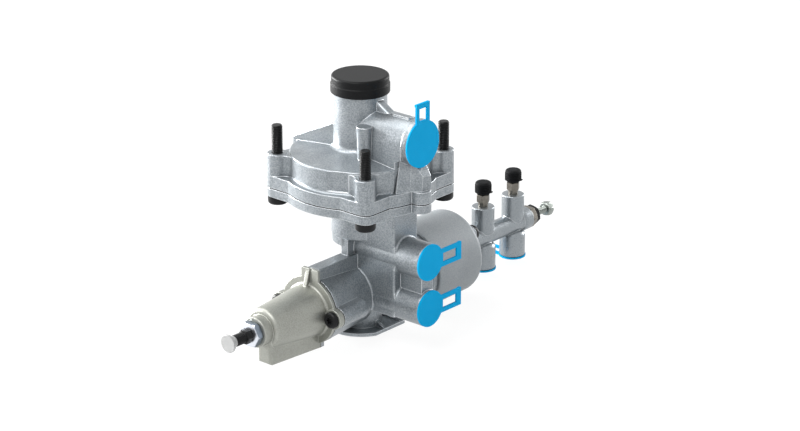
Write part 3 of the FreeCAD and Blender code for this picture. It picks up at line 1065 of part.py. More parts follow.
def make_spring_plate():
    """Plate on the front end of the load rod that carries the balance spring."""
    return turned([(0, -ROD_FRONT_Y, 0), (PLATE_RADIUS, -ROD_FRONT_Y, 0),
                   (PLATE_RADIUS, -ROD_FRONT_Y + PLATE_THICKNESS * 0.6, 0.3),
                   (SPRING_RADIUS - SPRING_WIRE - SLIP, -ROD_FRONT_Y + PLATE_THICKNESS * 0.6, 0),
                   (SPRING_RADIUS - SPRING_WIRE - SLIP, -ROD_FRONT_Y + PLATE_THICKNESS, 0.3),
                   (0, -ROD_FRONT_Y + PLATE_THICKNESS, 0)], BACK * -1, long_axis(0))


def make_balance_spring():
    """Balance spring between the spring plate and the adjusting screw."""
    start = -ROD_FRONT_Y + PLATE_THICKNESS * 0.6
    end = -ADJUSTER_INNER_Y - ADJUSTER_PLATE_THICKNESS
    spring = coil_spring(SPRING_RADIUS, SPRING_WIRE, SPRING_TURNS, start + RUNNING, end - RUNNING)
    spring.Placement = Placement(long_axis(0), Rotation(UP, BACK * -1)).multiply(spring.Placement)
    return spring


def make_rear_cylinder():
    """Rear cylinder: a smooth tapered can with a rounded back and a hole for the manifold."""
    front = REAR_FLANGE_Y[1]
    inner_back = CYLINDER_BACK_Y - CYLINDER_BACK_WALL
    body = turned([(CYLINDER_BORE_RADIUS, front, 0), (CYLINDER_FRONT_RADIUS, front, 1.0),
                   (CYLINDER_BACK_RADIUS, CYLINDER_BACK_Y, CYLINDER_BACK_ROUND),
                   (MANIFOLD_SPIGOT_RADIUS + SLIP, CYLINDER_BACK_Y, 0),
                   (MANIFOLD_SPIGOT_RADIUS + SLIP, inner_back, 0), (CYLINDER_BORE_RADIUS, inner_back, 1.5)],
                  BACK, long_axis(0))
    return cut_from(body, *[bar(COVER_SCREW_RADIUS, at + BACK * (inner_back - 1), at + BACK * (CYLINDER_BACK_Y + 1))
                            for at in manifold_screw_places()])


def manifold_screw_places():
    """The four screw places of the manifold flange, in the plane y = 0."""
    reach = MANIFOLD_SCREW_CIRCLE / math.sqrt(2)
    return [Vector(sx * reach, 0, AXIS_Z + sz * reach) for sx in (-1, 1) for sz in (-1, 1)]


def manifold_flange(start, thickness):
    """Round base with four ears for its screws."""
    base = bar(MANIFOLD_BASE_RADIUS, long_axis(start), long_axis(start + thickness))
    ears = [bar(MANIFOLD_EAR_RADIUS, at + BACK * start, at + BACK * (start + thickness))
            for at in manifold_screw_places()]
    return joined(base, *ears)


def make_manifold_gasket():
    """Gasket between the rear cylinder and the manifold flange."""
    sheet = manifold_flange(CYLINDER_BACK_Y, MANIFOLD_GASKET_THICKNESS)
    holes = [bar(COVER_SCREW_RADIUS + SLIP, at + BACK * (CYLINDER_BACK_Y - 1), at + BACK * (MANIFOLD_FRONT_Y + 1))
             for at in manifold_screw_places()]
    bore = bar(MANIFOLD_SPIGOT_RADIUS + SLIP, long_axis(CYLINDER_BACK_Y - 1), long_axis(MANIFOLD_FRONT_Y + 1))
    return cut_from(sheet, bore, *holes)


def make_signal_manifold():
    """Cast manifold: flange, tube along the long axis, two cross tubes and the end hub."""
    tube = bar(MANIFOLD_TUBE_RADIUS, long_axis(MANIFOLD_FRONT_Y), long_axis(MANIFOLD_HUB_Y[1]))
    spigot = bar(MANIFOLD_SPIGOT_RADIUS, long_axis(CYLINDER_BACK_Y - MANIFOLD_SPIGOT_LENGTH),
                 long_axis(MANIFOLD_FRONT_Y + 1))
    foot = taper(MANIFOLD_BASE_RADIUS * 0.7, MANIFOLD_TUBE_RADIUS, long_axis(MANIFOLD_BACK_Y - 0.5),
                 long_axis(MANIFOLD_BACK_Y + 8))
    hub = turned([(0, MANIFOLD_HUB_Y[0], 0), (MANIFOLD_HUB_RADIUS, MANIFOLD_HUB_Y[0], 3.0),
                  (MANIFOLD_HUB_RADIUS, MANIFOLD_HUB_Y[1], 0.8), (0, MANIFOLD_HUB_Y[1], 0)], BACK, long_axis(0))
    towers, bores = [], []
    for y in CROSS_TUBE_Y:
        towers.append(turned([(0, CROSS_TUBE_FOOT_Z, 0), (CROSS_TUBE_RADIUS, CROSS_TUBE_FOOT_Z, 2.0),
                              (CROSS_TUBE_RADIUS, CROSS_TUBE_TOP_Z, 0.8), (0, CROSS_TUBE_TOP_Z, 0)],
                             UP, Vector(0, y, 0)))
        towers.append(turned([(0, BELLOWS_PORT_FACE_Z, 0), (BELLOWS_PORT_RADIUS, BELLOWS_PORT_FACE_Z, 0.8),
                              (BELLOWS_PORT_RADIUS, BELLOWS_PORT_DOME_Z, 4.0), (0, BELLOWS_PORT_DOME_Z + 4, 0)],
                             UP, Vector(0, y, 0)))
        bores.append(bar(SMALL_BORE_RADIUS, Vector(0, y, BELLOWS_PORT_FACE_Z - 1),
                         Vector(0, y, BELLOWS_PORT_FACE_Z + SMALL_BORE_DEPTH)))
        bores.append(bar(TEST_VALVE_BORE, Vector(0, y, BELLOWS_PORT_FACE_Z), Vector(0, y, CROSS_TUBE_TOP_Z + 1)))
    body = joined(tube, spigot, foot, manifold_flange(MANIFOLD_FRONT_Y, MANIFOLD_BASE_THICKNESS), hub, *towers)
    bores.append(bar(MANIFOLD_TUBE_BORE, long_axis(CYLINDER_BACK_Y - MANIFOLD_SPIGOT_LENGTH - 1),
                     long_axis(MANIFOLD_HUB_Y[1] + 1)))
    bores.append(bar(END_PLUG_SPIGOT_RADIUS, long_axis(MANIFOLD_HUB_Y[1] - END_PLUG_SPIGOT_LENGTH - 2),
                     long_axis(MANIFOLD_HUB_Y[1] + 1)))
    for at in manifold_screw_places():
        bores.append(bar(COVER_SCREW_RADIUS + SLIP, at + BACK * (MANIFOLD_FRONT_Y - 1),
                         at + BACK * (MANIFOLD_BACK_Y + 1)))
    return cut_from(body, *bores)


def make_test_valve(y):
    """Test valve screwed into a cross tube: neck, hexagon and the spigot under its cap."""
    base = Vector(0, y, CROSS_TUBE_TOP_Z)
    neck_top = base + UP * TEST_VALVE_NECK_HEIGHT
    hex_top = neck_top + UP * TEST_VALVE_HEX_HEIGHT
    shank = bar(TEST_VALVE_BORE, base - UP * TEST_VALVE_DEPTH, base)
    neck = bar(TEST_VALVE_NECK_RADIUS, base, neck_top)
    flats = hexagon(TEST_VALVE_ACROSS_FLATS, neck_top, hex_top, chamfer=0.5)
    spigot = bar(TEST_VALVE_TOP_RADIUS, hex_top, hex_top + UP * TEST_VALVE_TOP_HEIGHT)
    return joined(shank, neck, flats, spigot)


def make_test_valve_cap(y):
    """Ribbed rubber cap over a test valve: rounded top, tapered foot."""
    low = CROSS_TUBE_TOP_Z + TEST_VALVE_NECK_HEIGHT + TEST_VALVE_HEX_HEIGHT
    bore = TEST_VALVE_TOP_RADIUS + SLIP
    top = low + TEST_CAP_HEIGHT
    roof = low + TEST_VALVE_TOP_HEIGHT + SLIP
    return turned([(0, roof, 0), (bore, roof, 0), (bore, low, 0), (TEST_CAP_FOOT_RADIUS, low, 0),
                   (TEST_CAP_RADIUS, low + TEST_CAP_TAPER, 0.8), (TEST_CAP_TOP_RADIUS, top, TEST_CAP_ROUND),
                   (0, top, 0)], UP, Vector(0, y, 0))


def make_end_hex_plug():
    """Steel hexagon plug in the end of the manifold, bored for the adjusting bolt."""
    spigot = bar(END_PLUG_SPIGOT_RADIUS, long_axis(MANIFOLD_HUB_Y[1] - END_PLUG_SPIGOT_LENGTH),
                 long_axis(MANIFOLD_HUB_Y[1]))
    body = hexagon(END_PLUG_ACROSS_FLATS, long_axis(MANIFOLD_HUB_Y[1]), long_axis(END_PLUG_Y), chamfer=0.8)
    bore = bar(END_BOLT_RADIUS + RUNNING, long_axis(MANIFOLD_HUB_Y[0]), long_axis(END_PLUG_Y + 1))
    return cut_from(joined(spigot, body), bore)


def make_end_seal_ring():
    """Black plastic lock ring between the hexagon plug and the bolt."""
    return hexagon(END_SEAL_ACROSS_FLATS, long_axis(END_PLUG_Y), long_axis(END_SEAL_Y),
                   hollow=END_BOLT_RADIUS + RUNNING, chamfer=0.6, turn=12.0)


def make_end_adjusting_bolt():
    """M6 hexagon bolt that sets the manifold's end stop."""
    shank = bar(END_BOLT_RADIUS, long_axis(END_BOLT_INNER_Y), long_axis(END_BOLT_HEAD_Y))
    head = hexagon(END_BOLT_ACROSS_FLATS, long_axis(END_BOLT_HEAD_Y),
                   long_axis(END_BOLT_HEAD_Y + END_BOLT_HEAD_HEIGHT), chamfer=0.8, turn=8.0)
    return joined(shank, head)


def build_parts():
    """Every node's name with its solid."""
    parts = {
        "upper_housing": make_upper_housing(),
        "lower_housing": make_lower_housing(),
        "diaphragm": make_diaphragm(),
        "neck_cap": make_neck_cap(),
        "pilot_piston": make_pilot_piston(),
        "pilot_spring": make_pilot_spring(),
        "pilot_screw": make_pilot_screw(),
        "control_piston": make_control_piston(),
        "cover_gasket": make_cover_gasket(),
        "regulator_cover": make_regulator_cover(),
        "adjusting_screw": make_adjusting_screw(),
        "adjuster_locknut": make_adjuster_locknut(),
        "adjuster_end_cap": make_adjuster_end_cap(),
        "exhaust_flap": make_exhaust_flap(),
        "exhaust_ring": make_exhaust_ring(),
        "relay_piston": make_relay_piston(),
        "relay_piston_seal": make_relay_piston_seal(),
        "relay_valve": make_relay_valve(),
        "relay_valve_spring": make_relay_valve_spring(),
        "valve_tappet": make_valve_tappet(),
        "load_rod": make_load_rod(),
        "rod_guide": make_rod_guide(),
        "load_piston": make_load_piston(),
        "load_piston_seal": make_load_piston_seal(),
        "spring_plate": make_spring_plate(),
        "balance_spring": make_balance_spring(),
        "rear_cylinder": make_rear_cylinder(),
        "manifold_gasket": make_manifold_gasket(),
        "signal_manifold": make_signal_manifold(),
        "end_hex_plug": make_end_hex_plug(),
        "end_seal_ring": make_end_seal_ring(),
        "end_adjusting_bolt": make_end_adjusting_bolt(),
        "upper_port_plug": plug(UPPER_PLUG_RADIUS, UPPER_BORE_RADIUS, UPPER_LOOP,
                                Vector(UPPER_PORT_FACE_X, 0, UPPER_PORT_Z), RIGHT, UP),
        "side_port_plug_upper": plug(SIDE_PLUG_RADIUS, SMALL_BORE_RADIUS, SMALL_LOOP,
                                     Vector(SIDE_PORT_FACE_X, 0, SIDE_PORT_UPPER_Z), RIGHT, BACK),
        "side_port_plug_lower": plug(SIDE_PLUG_RADIUS, SMALL_BORE_RADIUS, SMALL_LOOP,
                                     Vector(SIDE_PORT_FACE_X, 0, SIDE_PORT_LOWER_Z), RIGHT, BACK),
    }
    for number, (x, y) in enumerate(STUD_PLACES, 1):
        parts[f"flange_bolt_{number}"] = make_flange_bolt(x, y)
    for side, name in ((-1, "left"), (1, "right")):
        parts[f"cover_screw_{name}"] = make_pan_screw(long_axis(COVER_BOSS_Y, side * COVER_SCREW_X), BACK * -1,
                                                      COVER_SCREW_LENGTH + COVER_BOSS_THICKNESS)
    for number, at in enumerate(manifold_screw_places(), 1):
        parts[f"manifold_screw_{number}"] = make_pan_screw(at + BACK * MANIFOLD_BACK_Y, BACK,
                                                           MANIFOLD_BASE_THICKNESS + CYLINDER_BACK_WALL)
    for number, y in enumerate(CROSS_TUBE_Y, 1):
        parts[f"test_valve_{number}"] = make_test_valve(y)
        parts[f"test_valve_cap_{number}"] = make_test_valve_cap(y)
        parts[f"bellows_port_plug_{number}"] = plug(BELLOWS_PLUG_RADIUS, SMALL_BORE_RADIUS, SMALL_LOOP,
                                                    Vector(0, y, BELLOWS_PORT_FACE_Z), UP * -1, RIGHT * -1)
    return parts


os.makedirs("parts", exist_ok=True)
for node, shape in build_parts().items():
    solids = shape.Solids
    whole = solids[0] if len(solids) == 1 else Part.makeCompound(solids)
    whole.exportStep(f"parts/{node}.step")
    print(node, "solids", len(solids), "volume", round(whole.Volume, 1), "valid", whole.isValid())
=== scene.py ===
import math

import bpy
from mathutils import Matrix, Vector


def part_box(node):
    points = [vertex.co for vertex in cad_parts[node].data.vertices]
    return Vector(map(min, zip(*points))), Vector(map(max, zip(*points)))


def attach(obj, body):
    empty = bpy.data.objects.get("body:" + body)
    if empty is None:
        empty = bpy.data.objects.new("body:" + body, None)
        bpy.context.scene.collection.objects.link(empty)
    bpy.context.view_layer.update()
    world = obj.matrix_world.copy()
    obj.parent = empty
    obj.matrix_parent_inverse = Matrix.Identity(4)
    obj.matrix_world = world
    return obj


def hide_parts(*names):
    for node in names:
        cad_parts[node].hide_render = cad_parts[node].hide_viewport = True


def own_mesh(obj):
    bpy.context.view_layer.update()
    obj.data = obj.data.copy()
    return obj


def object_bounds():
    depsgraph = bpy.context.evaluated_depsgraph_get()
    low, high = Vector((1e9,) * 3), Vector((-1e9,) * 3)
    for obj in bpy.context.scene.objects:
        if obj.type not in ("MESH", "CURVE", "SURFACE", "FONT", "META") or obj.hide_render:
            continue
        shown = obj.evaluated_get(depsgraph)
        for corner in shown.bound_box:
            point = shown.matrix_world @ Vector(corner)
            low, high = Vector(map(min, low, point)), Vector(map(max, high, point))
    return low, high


MM = 0.001

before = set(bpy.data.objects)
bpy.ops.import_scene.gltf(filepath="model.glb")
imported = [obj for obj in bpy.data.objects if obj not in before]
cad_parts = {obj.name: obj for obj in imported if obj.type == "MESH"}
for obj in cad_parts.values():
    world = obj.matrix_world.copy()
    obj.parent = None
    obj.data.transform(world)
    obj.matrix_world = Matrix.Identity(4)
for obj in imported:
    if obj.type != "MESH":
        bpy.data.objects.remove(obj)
cad_box = [list(corner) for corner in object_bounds()]


# Camera. The photograph was taken with a long lens from the front right, a little above the flange,
# so that the spring cover points down to the left and the manifold runs back to the right.
VIEW_AZIMUTH = math.radians(41.146)
VIEW_ELEVATION = math.radians(20.743)
VIEW_LENS = 129.176
VIEW_SHIFT_RIGHT = 28.10 * MM
VIEW_SHIFT_UP = -46.52 * MM
VIEW_DISTANCE = 2047.6 * MM

camera_right = Vector((math.cos(VIEW_AZIMUTH), math.sin(VIEW_AZIMUTH), 0))
camera_back = Vector((math.sin(VIEW_AZIMUTH) * math.cos(VIEW_ELEVATION),
                      -math.cos(VIEW_AZIMUTH) * math.cos(VIEW_ELEVATION), math.sin(VIEW_ELEVATION)))
camera_up = camera_back.cross(camera_right)
camera = bpy.data.objects.new("camera", bpy.data.cameras.new("camera"))
camera.location = (camera_right * VIEW_SHIFT_RIGHT + camera_up * VIEW_SHIFT_UP
                   + camera_back * VIEW_DISTANCE)
camera.rotation_euler = camera_back.to_track_quat("Z", "Y").to_euler()
camera.data.lens = VIEW_LENS
camera.data.sensor_width = 36
camera.data.clip_start = 0.05
camera.data.clip_end = 20
bpy.context.scene.collection.objects.link(camera)
bpy.context.scene.camera = camera
bpy.context.scene.view_settings.view_transform = "Standard"


def linear(code, alpha=1.0):
    """An sRGB hex colour as the linear values that Blender's sockets take."""
    channels = [int(code[i:i + 2], 16) / 255 for i in (1, 3, 5)]
    return [c / 12.92 if c <= 0.04045 else ((c + 0.055) / 1.055) ** 2.4 for c in channels] + [alpha]


def add_node(tree, kind, links=(), **settings):
    """A node with its settings; links pairs an input, by name or number, with a socket or value."""
    node = tree.nodes.new(kind)
    for name, value in settings.items():
        setattr(node, name, value)
    for target, source in dict(links).items():
        socket = node.inputs[target]
        if isinstance(source, bpy.types.NodeSocket):
            tree.links.new(source, socket)
        else:
            socket.default_value = source
    return node


# Studio. A white room that the camera and shiny metal see as white, and that lights matt surfaces
# a little less. Four soft boxes: the broad one on the left gives the castings their pale flanks.
ROOM_COLOUR = "#DDE1E4"
ROOM_LIGHT = 0.56
OBJECT_MIDDLE = Vector((0, 30, -50)) * MM
world = bpy.data.worlds.new("white_studio")
bpy.context.scene.world = world
world.use_nodes = True
studio = world.node_tree
studio.nodes.clear()


def seen_ray(tree):
    """1 for rays that show a surface to the camera, directly, mirrored or through glass; else 0."""
    path = add_node(tree, "ShaderNodeLightPath")
    camera_or_gloss = add_node(tree, "ShaderNodeMath", {0: path.outputs["Is Camera Ray"],
                                                        1: path.outputs["Is Glossy Ray"]},
                               operation="MAXIMUM")
    seen = add_node(tree, "ShaderNodeMath", {0: camera_or_gloss.outputs[0],
                                             1: path.outputs["Is Transmission Ray"]},
                    operation="MAXIMUM")
    return seen.outputs[0]


room = add_node(studio, "ShaderNodeBackground", {"Color": linear(ROOM_COLOUR),
                                                 "Strength": ROOM_LIGHT})
white = add_node(studio, "ShaderNodeBackground", {"Color": (1, 1, 1, 1), "Strength": 1.0})
backdrop = add_node(studio, "ShaderNodeMixShader", {0: seen_ray(studio), 1: room.outputs[0],
                                                    2: white.outputs[0]})
add_node(studio, "ShaderNodeOutputWorld", {"Surface": backdrop.outputs[0]})


def soft_box(name, towards, distance, size, power):
    """Area lamp in the given direction from the middle of the object, which it faces."""
    lamp = bpy.data.lights.new(name, "AREA")
    lamp.shape = "RECTANGLE"
    lamp.size, lamp.size_y = size
    lamp.energy = power
    holder = bpy.data.objects.new(name, lamp)
    direction = Vector(towards).normalized()
    holder.location = OBJECT_MIDDLE + direction * distance
    holder.rotation_euler = direction.to_track_quat("Z", "Y").to_euler()
    bpy.context.scene.collection.objects.link(holder)


soft_box("left_box", camera_right * -1 - camera_back * 0.52 + Vector((0, 0, 0.2)), 1.3,
         (0.8, 0.9), 74)
soft_box("top_box", Vector((0, 0, 1)) - camera_back * 0.3 - camera_right * 0.5, 1.4, (1.0, 0.8), 10)
soft_box("right_box", camera_right - camera_back * 0.85 + Vector((0, 0, 0.5)), 1.4, (0.5, 0.8), 11)
soft_box("front_box", camera_back * 0.8 - camera_right * 0.5 + Vector((0, 0, 0.9)), 1.6,
         (0.8, 0.7), 15)

# Floor. A sheet of white paper just under the object. Most of what the camera sees of it is its own
# glow, so that the object's shadow stays faint.
FLOOR_GAP = 1.0 * MM
FLOOR_HALF = 3.0
PAPER_GLOW = 1.04
PAPER_GLOW_SHARE = 0.88
floor_z = cad_box[0][2] - FLOOR_GAP
floor_mesh = bpy.data.meshes.new("floor")
floor_mesh.from_pydata([(-FLOOR_HALF, -FLOOR_HALF, floor_z), (FLOOR_HALF, -FLOOR_HALF, floor_z),
                        (FLOOR_HALF, FLOOR_HALF, floor_z), (-FLOOR_HALF, FLOOR_HALF, floor_z)],
                       [], [(0, 1, 2, 3)])
floor = bpy.data.objects.new("floor", floor_mesh)
bpy.context.scene.collection.objects.link(floor)
paper = bpy.data.materials.new("white_paper")
paper.use_nodes = True
paper.node_tree.nodes.clear()
tree = paper.node_tree
matte = add_node(tree, "ShaderNodeBsdfDiffuse", {"Color": linear("#F4F4F4")})
glow = add_node(tree, "ShaderNodeEmission", {"Color": (1, 1, 1, 1), "Strength": PAPER_GLOW})
mostly = add_node(tree, "ShaderNodeMath", {0: seen_ray(tree), 1: PAPER_GLOW_SHARE},
                  operation="MULTIPLY")
mixed = add_node(tree, "ShaderNodeMixShader", {0: mostly.outputs[0], 1: matte.outputs[0],
                                               2: glow.outputs[0]})
add_node(tree, "ShaderNodeOutputMaterial", {"Surface": mixed.outputs[0]})
floor_mesh.materials.append(paper)


# Housings. Pressure die-cast aluminium, tumbled in stones: matt grey with a fine speckle and slow
# cloudy patches, a painted highlight along the edges, and painted shade in corners and recesses.
CAST_DARK = "#7E8488"
CAST_LIGHT = "#A0A5A9"
CAST_EDGE_HIGHLIGHT = "#DADEE1"
CAST_SPECKLE = 1.0 * MM
CAST_CLOUD = 16 * MM
CAST_EDGE_RADIUS = 0.9 * MM
CAST_CORNER_SHADE = "#1F2224"
CAST_CORNER = 4.0 * MM
CAST_BUMP_DEPTH = 0.12 * MM


def new_finish(name):
    """Empty material with its shader; the shader is what the finish's nodes are linked to."""
    material = bpy.data.materials.new(name)
    material.use_nodes = True
    tree = material.node_tree
    tree.nodes.clear()
    shader = add_node(tree, "ShaderNodeBsdfPrincipled")
    add_node(tree, "ShaderNodeOutputMaterial", {"Surface": shader.outputs[0]})
    return material, tree, shader


def dress(material, *nodes):
    """The finish on CAD nodes, whose shape is right as it is."""
    for node in nodes:
        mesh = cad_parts[node].data
        mesh.materials.clear()
        mesh.materials.append(material)


def cast_finish(name, dark, light, edge_highlight_colour, metallic, roughness, speckle, cloud, edge_radius):
    """Tumbled casting: speckle and clouds between two greys, painted highlight on edges, painted
    shade in corners.
    """
    material, tree, shader = new_finish(name)
    place = add_node(tree, "ShaderNodeTexCoord").outputs["Object"]
    grain = add_node(tree, "ShaderNodeTexNoise", {"Vector": place, "Scale": 1 / speckle,
                                                  "Detail": 3.0, "Roughness": 0.6})
    patches = add_node(tree, "ShaderNodeTexNoise", {"Vector": place, "Scale": 1 / cloud,
                                                    "Detail": 2.0})
    both = add_node(tree, "ShaderNodeMix", {0: 0.25, 2: grain.outputs[0], 3: patches.outputs[0]})
    shade = add_node(tree, "ShaderNodeMapRange", {0: both.outputs[0], 1: 0.40, 2: 0.60})
    body = add_node(tree, "ShaderNodeMix", {0: shade.outputs[0], 6: linear(dark), 7: linear(light)},
                    data_type="RGBA")
    rounded = add_node(tree, "ShaderNodeBevel", {"Radius": edge_radius}, samples=6)
    flat = add_node(tree, "ShaderNodeNewGeometry").outputs["True Normal"]
    turn = add_node(tree, "ShaderNodeVectorMath", {0: rounded.outputs[0], 1: flat},
                    operation="DOT_PRODUCT")
    # Painted highlight: near edges, where the rounded normal turns from the true one, the colour
    # lightens towards a near-white grey.
    edge_highlight_mask = add_node(tree, "ShaderNodeMapRange", {0: turn.outputs["Value"], 1: 0.995, 2: 0.90,
                                                3: 0.0, 4: 1.0})
    edge_highlighted = add_node(tree, "ShaderNodeMix", {0: edge_highlight_mask.outputs[0], 6: body.outputs[2], 7: linear(edge_highlight_colour)},
                    data_type="RGBA")
    # Painted shade: by ambient occlusion, the colour darkens towards a near-black grey in corners,
    # creases and recesses.
    corner = add_node(tree, "ShaderNodeAmbientOcclusion", {"Distance": CAST_CORNER}, samples=6)
    open_air = add_node(tree, "ShaderNodeMapRange", {0: corner.outputs["AO"], 1: 0.1, 2: 0.7,
                                                     3: 0.65, 4: 1.0})
    corner_shaded = add_node(tree, "ShaderNodeMix", {0: open_air.outputs[0], 6: linear(CAST_CORNER_SHADE),
                                              7: edge_highlighted.outputs[2]}, data_type="RGBA")
    tree.links.new(corner_shaded.outputs[2], shader.inputs["Base Color"])
    rough = add_node(tree, "ShaderNodeMapRange", {0: grain.outputs[0], 1: 0.3, 2: 0.7,
                                                  3: roughness - 0.06, 4: roughness + 0.08})
    tree.links.new(rough.outputs[0], shader.inputs["Roughness"])
    bump = add_node(tree, "ShaderNodeBump", {"Strength": 0.35, "Distance": CAST_BUMP_DEPTH,
                                             "Height": grain.outputs[0],
                                             "Normal": rounded.outputs[0]})
    tree.links.new(bump.outputs[0], shader.inputs["Normal"])
    shader.inputs["Metallic"].default_value = metallic
    return material


die_cast_aluminium = cast_finish("die_cast_aluminium", CAST_DARK, CAST_LIGHT, CAST_EDGE_HIGHLIGHT,
                                 0.72, 0.36, CAST_SPECKLE, CAST_CLOUD, CAST_EDGE_RADIUS)
dress(die_cast_aluminium, "upper_housing", "lower_housing")

# Manifold. In the photograph it is smoother and glossier than the housings, with clear bands of
# light and shade along its round towers.
manifold_metal = cast_finish("die_cast_aluminium_smooth", "#858B8F", "#989DA1", "#CCD0D3",
                             0.85, 0.3, 0.6 * MM, 20 * MM, 0.8 * MM)
dress(manifold_metal, "signal_manifold")

# Regulator cover. Die-cast zinc alloy with a thin warm chromate: champagne grey, a little duller than
# the housings, screwed to the front of the lower housing.
cover_casting = cast_finish("chromated_zinc_casting", "#93948D", "#A5A69F", "#C4C6BF", 0.7, 0.42,
                            0.9 * MM, 20 * MM, 0.8 * MM)
dress(cover_casting, "regulator_cover")

# Rear cylinder. Deep-drawn aluminium can, shot-blasted: an even pale grey with a very fine speckle.
# The pistons inside share the finish, which for them is a guess.
drum_metal = cast_finish("blasted_drawn_aluminium", "#888D90", "#9CA0A3", "#C8CBCC", 0.35, 0.55,
                         0.8 * MM, 30 * MM, 0.6 * MM)
dress(drum_metal, "rear_cylinder", "pilot_piston", "relay_piston", "control_piston", "load_piston")

# Gaskets, diaphragm and flap. Pressed rubber sheet: black and matt, clouded by a thin bloom.


def mottle(tree, shader, size, detail, dark, light):
    """Base colour in soft patches of the given size between two colours; gives their noise."""
    place = add_node(tree, "ShaderNodeTexCoord").outputs["Object"]
    noise = add_node(tree, "ShaderNodeTexNoise", {"Vector": place, "Scale": 1 / size,
                                                  "Detail": detail})
    colour = add_node(tree, "ShaderNodeMix", {0: noise.outputs[0], 6: linear(dark),
                                              7: linear(light)}, data_type="RGBA")
    tree.links.new(colour.outputs[2], shader.inputs["Base Color"])
    return noise.outputs[0]


material, tree, shader = new_finish("moulded_black_rubber")
bloom = mottle(tree, shader, 2.5 * MM, 4.0, "#08090A", "#18191B")
pores = add_node(tree, "ShaderNodeBump", {"Strength": 0.2, "Distance": 0.1 * MM, "Height": bloom})
tree.links.new(pores.outputs[0], shader.inputs["Normal"])
shader.inputs["Roughness"].default_value = 0.7
shader.inputs["Specular IOR Level"].default_value = 0.12
black_rubber = material
dress(black_rubber, "diaphragm", "cover_gasket", "manifold_gasket", "relay_piston_seal",
      "load_piston_seal", "exhaust_flap")

# Flange bolts. Four M8 socket bolts pushed up through both flanges, so that their threaded ends
# stand up as the mounting studs. Zinc-flake coated steel: black and dull.
BOLT_RADIUS = 4.0 * MM
BOLT_SHANK_RADIUS = 3.6 * MM
BOLT_THREAD_PITCH = 1.25 * MM
BOLT_THREAD_LENGTH = 21.0 * MM
BOLT_THREAD_GAP = 0.2 * MM
BOLT_HEAD_HEIGHT = 6.2 * MM
BOLT_SOCKET = 5.0 * MM
BOLT_SOCKET_DEPTH = 3.2 * MM


def ringed(name, material, body, rings, start, way, around=48):
    """Closed turned piece through rings of (distance along the way, radius or radius by angle)."""
    axis = Vector(way).normalized()
    side = Vector((1, 0, 0)) if abs(axis.x) < 0.9 else Vector((0, 1, 0))
    across = axis.cross(side)
    points = []
    for along, radius in rings:
        for step in range(around):
            angle = 2 * math.pi * step / around
            reach = radius(angle) if callable(radius) else radius
            outward = side * math.cos(angle) + across * math.sin(angle)
            points.append(Vector(start) + axis * along + outward * reach)
    faces = [tuple(reversed(range(around)))]
    for ring in range(len(rings) - 1):
        low, high = ring * around, (ring + 1) * around
        for step in range(around):
            after = (step + 1) % around
            faces.append((low + step, low + after, high + after, high + step))
    last = (len(rings) - 1) * around
    faces.append(tuple(range(last, last + around)))
    mesh = bpy.data.meshes.new(name)
    mesh.from_pydata(points, [], faces)
    mesh.shade_smooth()
    mesh.set_sharp_from_angle(angle=math.radians(32))
    mesh.materials.append(material)
    piece = bpy.data.objects.new(name, mesh)
    bpy.context.scene.collection.objects.link(piece)
    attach(piece, body)
    return piece


def hexagon(across_flats, turn=0.0):
    """Radius by angle of a hexagon with flats that far apart."""
    return lambda angle: across_flats / 2 / math.cos((angle + turn) % (math.pi / 3) - math.pi / 6)


def thread(radius, pitch, start, end, lead_in):
    """Rings of a thread from start to end, whose crests fade out over the lead-in at its end."""
    depth = 0.55 * pitch
    rings = []
    count = int((end - start) / pitch * 6)
    for row in range(count + 1):
        along = start + (end - start) * row / count
        crest = radius - max(0.0, along - (end - lead_in))

        def by_angle(angle, along=along, crest=crest):
            phase = (along / pitch - angle / (2 * math.pi)) % 1.0
            return min(crest, radius - depth + depth * min(1.0, abs(2 * phase - 1) * 1.4))
        rings.append((along, by_angle))
    return rings


def rounded_edges(tree, shader, radius):
    """Edges that shade as if rounded to the radius; gives the normal for a bump to start from."""
    bevel = add_node(tree, "ShaderNodeBevel", {"Radius": radius}, samples=4)
    tree.links.new(bevel.outputs[0], shader.inputs["Normal"])
    return bevel.outputs[0]


material, tree, shader = new_finish("black_zinc_flake_steel")
flake = mottle(tree, shader, 0.9 * MM, 3.0, "#060607", "#161718")
bump = add_node(tree, "ShaderNodeBump", {"Strength": 0.2, "Distance": 0.08 * MM, "Height": flake,
                                         "Normal": rounded_edges(tree, shader, 0.4 * MM)})
tree.links.new(bump.outputs[0], shader.inputs["Normal"])
shader.inputs["Roughness"].default_value = 0.38
shader.inputs["Specular IOR Level"].default_value = 0.22
black_steel = material

for number in range(1, 5):
    low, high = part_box(f"flange_bolt_{number}")
    centre = Vector(((low.x + high.x) / 2, (low.y + high.y) / 2, low.z))
    length = high.z - low.z
    head_radius = (high.x - low.x) / 2
    rings = [(BOLT_SOCKET_DEPTH, hexagon(BOLT_SOCKET)), (0.3 * MM, hexagon(BOLT_SOCKET)),
             (0.0, hexagon(BOLT_SOCKET + 0.5 * MM)), (0.0, head_radius - 2.0 * MM),
             (0.35 * MM, head_radius - 0.9 * MM), (1.0 * MM, head_radius - 0.3 * MM),
             (1.9 * MM, head_radius), (BOLT_HEAD_HEIGHT, head_radius),
             (BOLT_HEAD_HEIGHT, BOLT_SHANK_RADIUS),
             (length - BOLT_THREAD_LENGTH, BOLT_SHANK_RADIUS)]
    rings += thread(BOLT_RADIUS, BOLT_THREAD_PITCH, length - BOLT_THREAD_LENGTH + BOLT_THREAD_GAP,
                    length, 0.8 * MM)
    bolt = ringed(f"flange_bolt_{number}_threaded", black_steel, "housing", rings,
                  centre, (0, 0, 1), 36)
    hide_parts(f"flange_bolt_{number}")

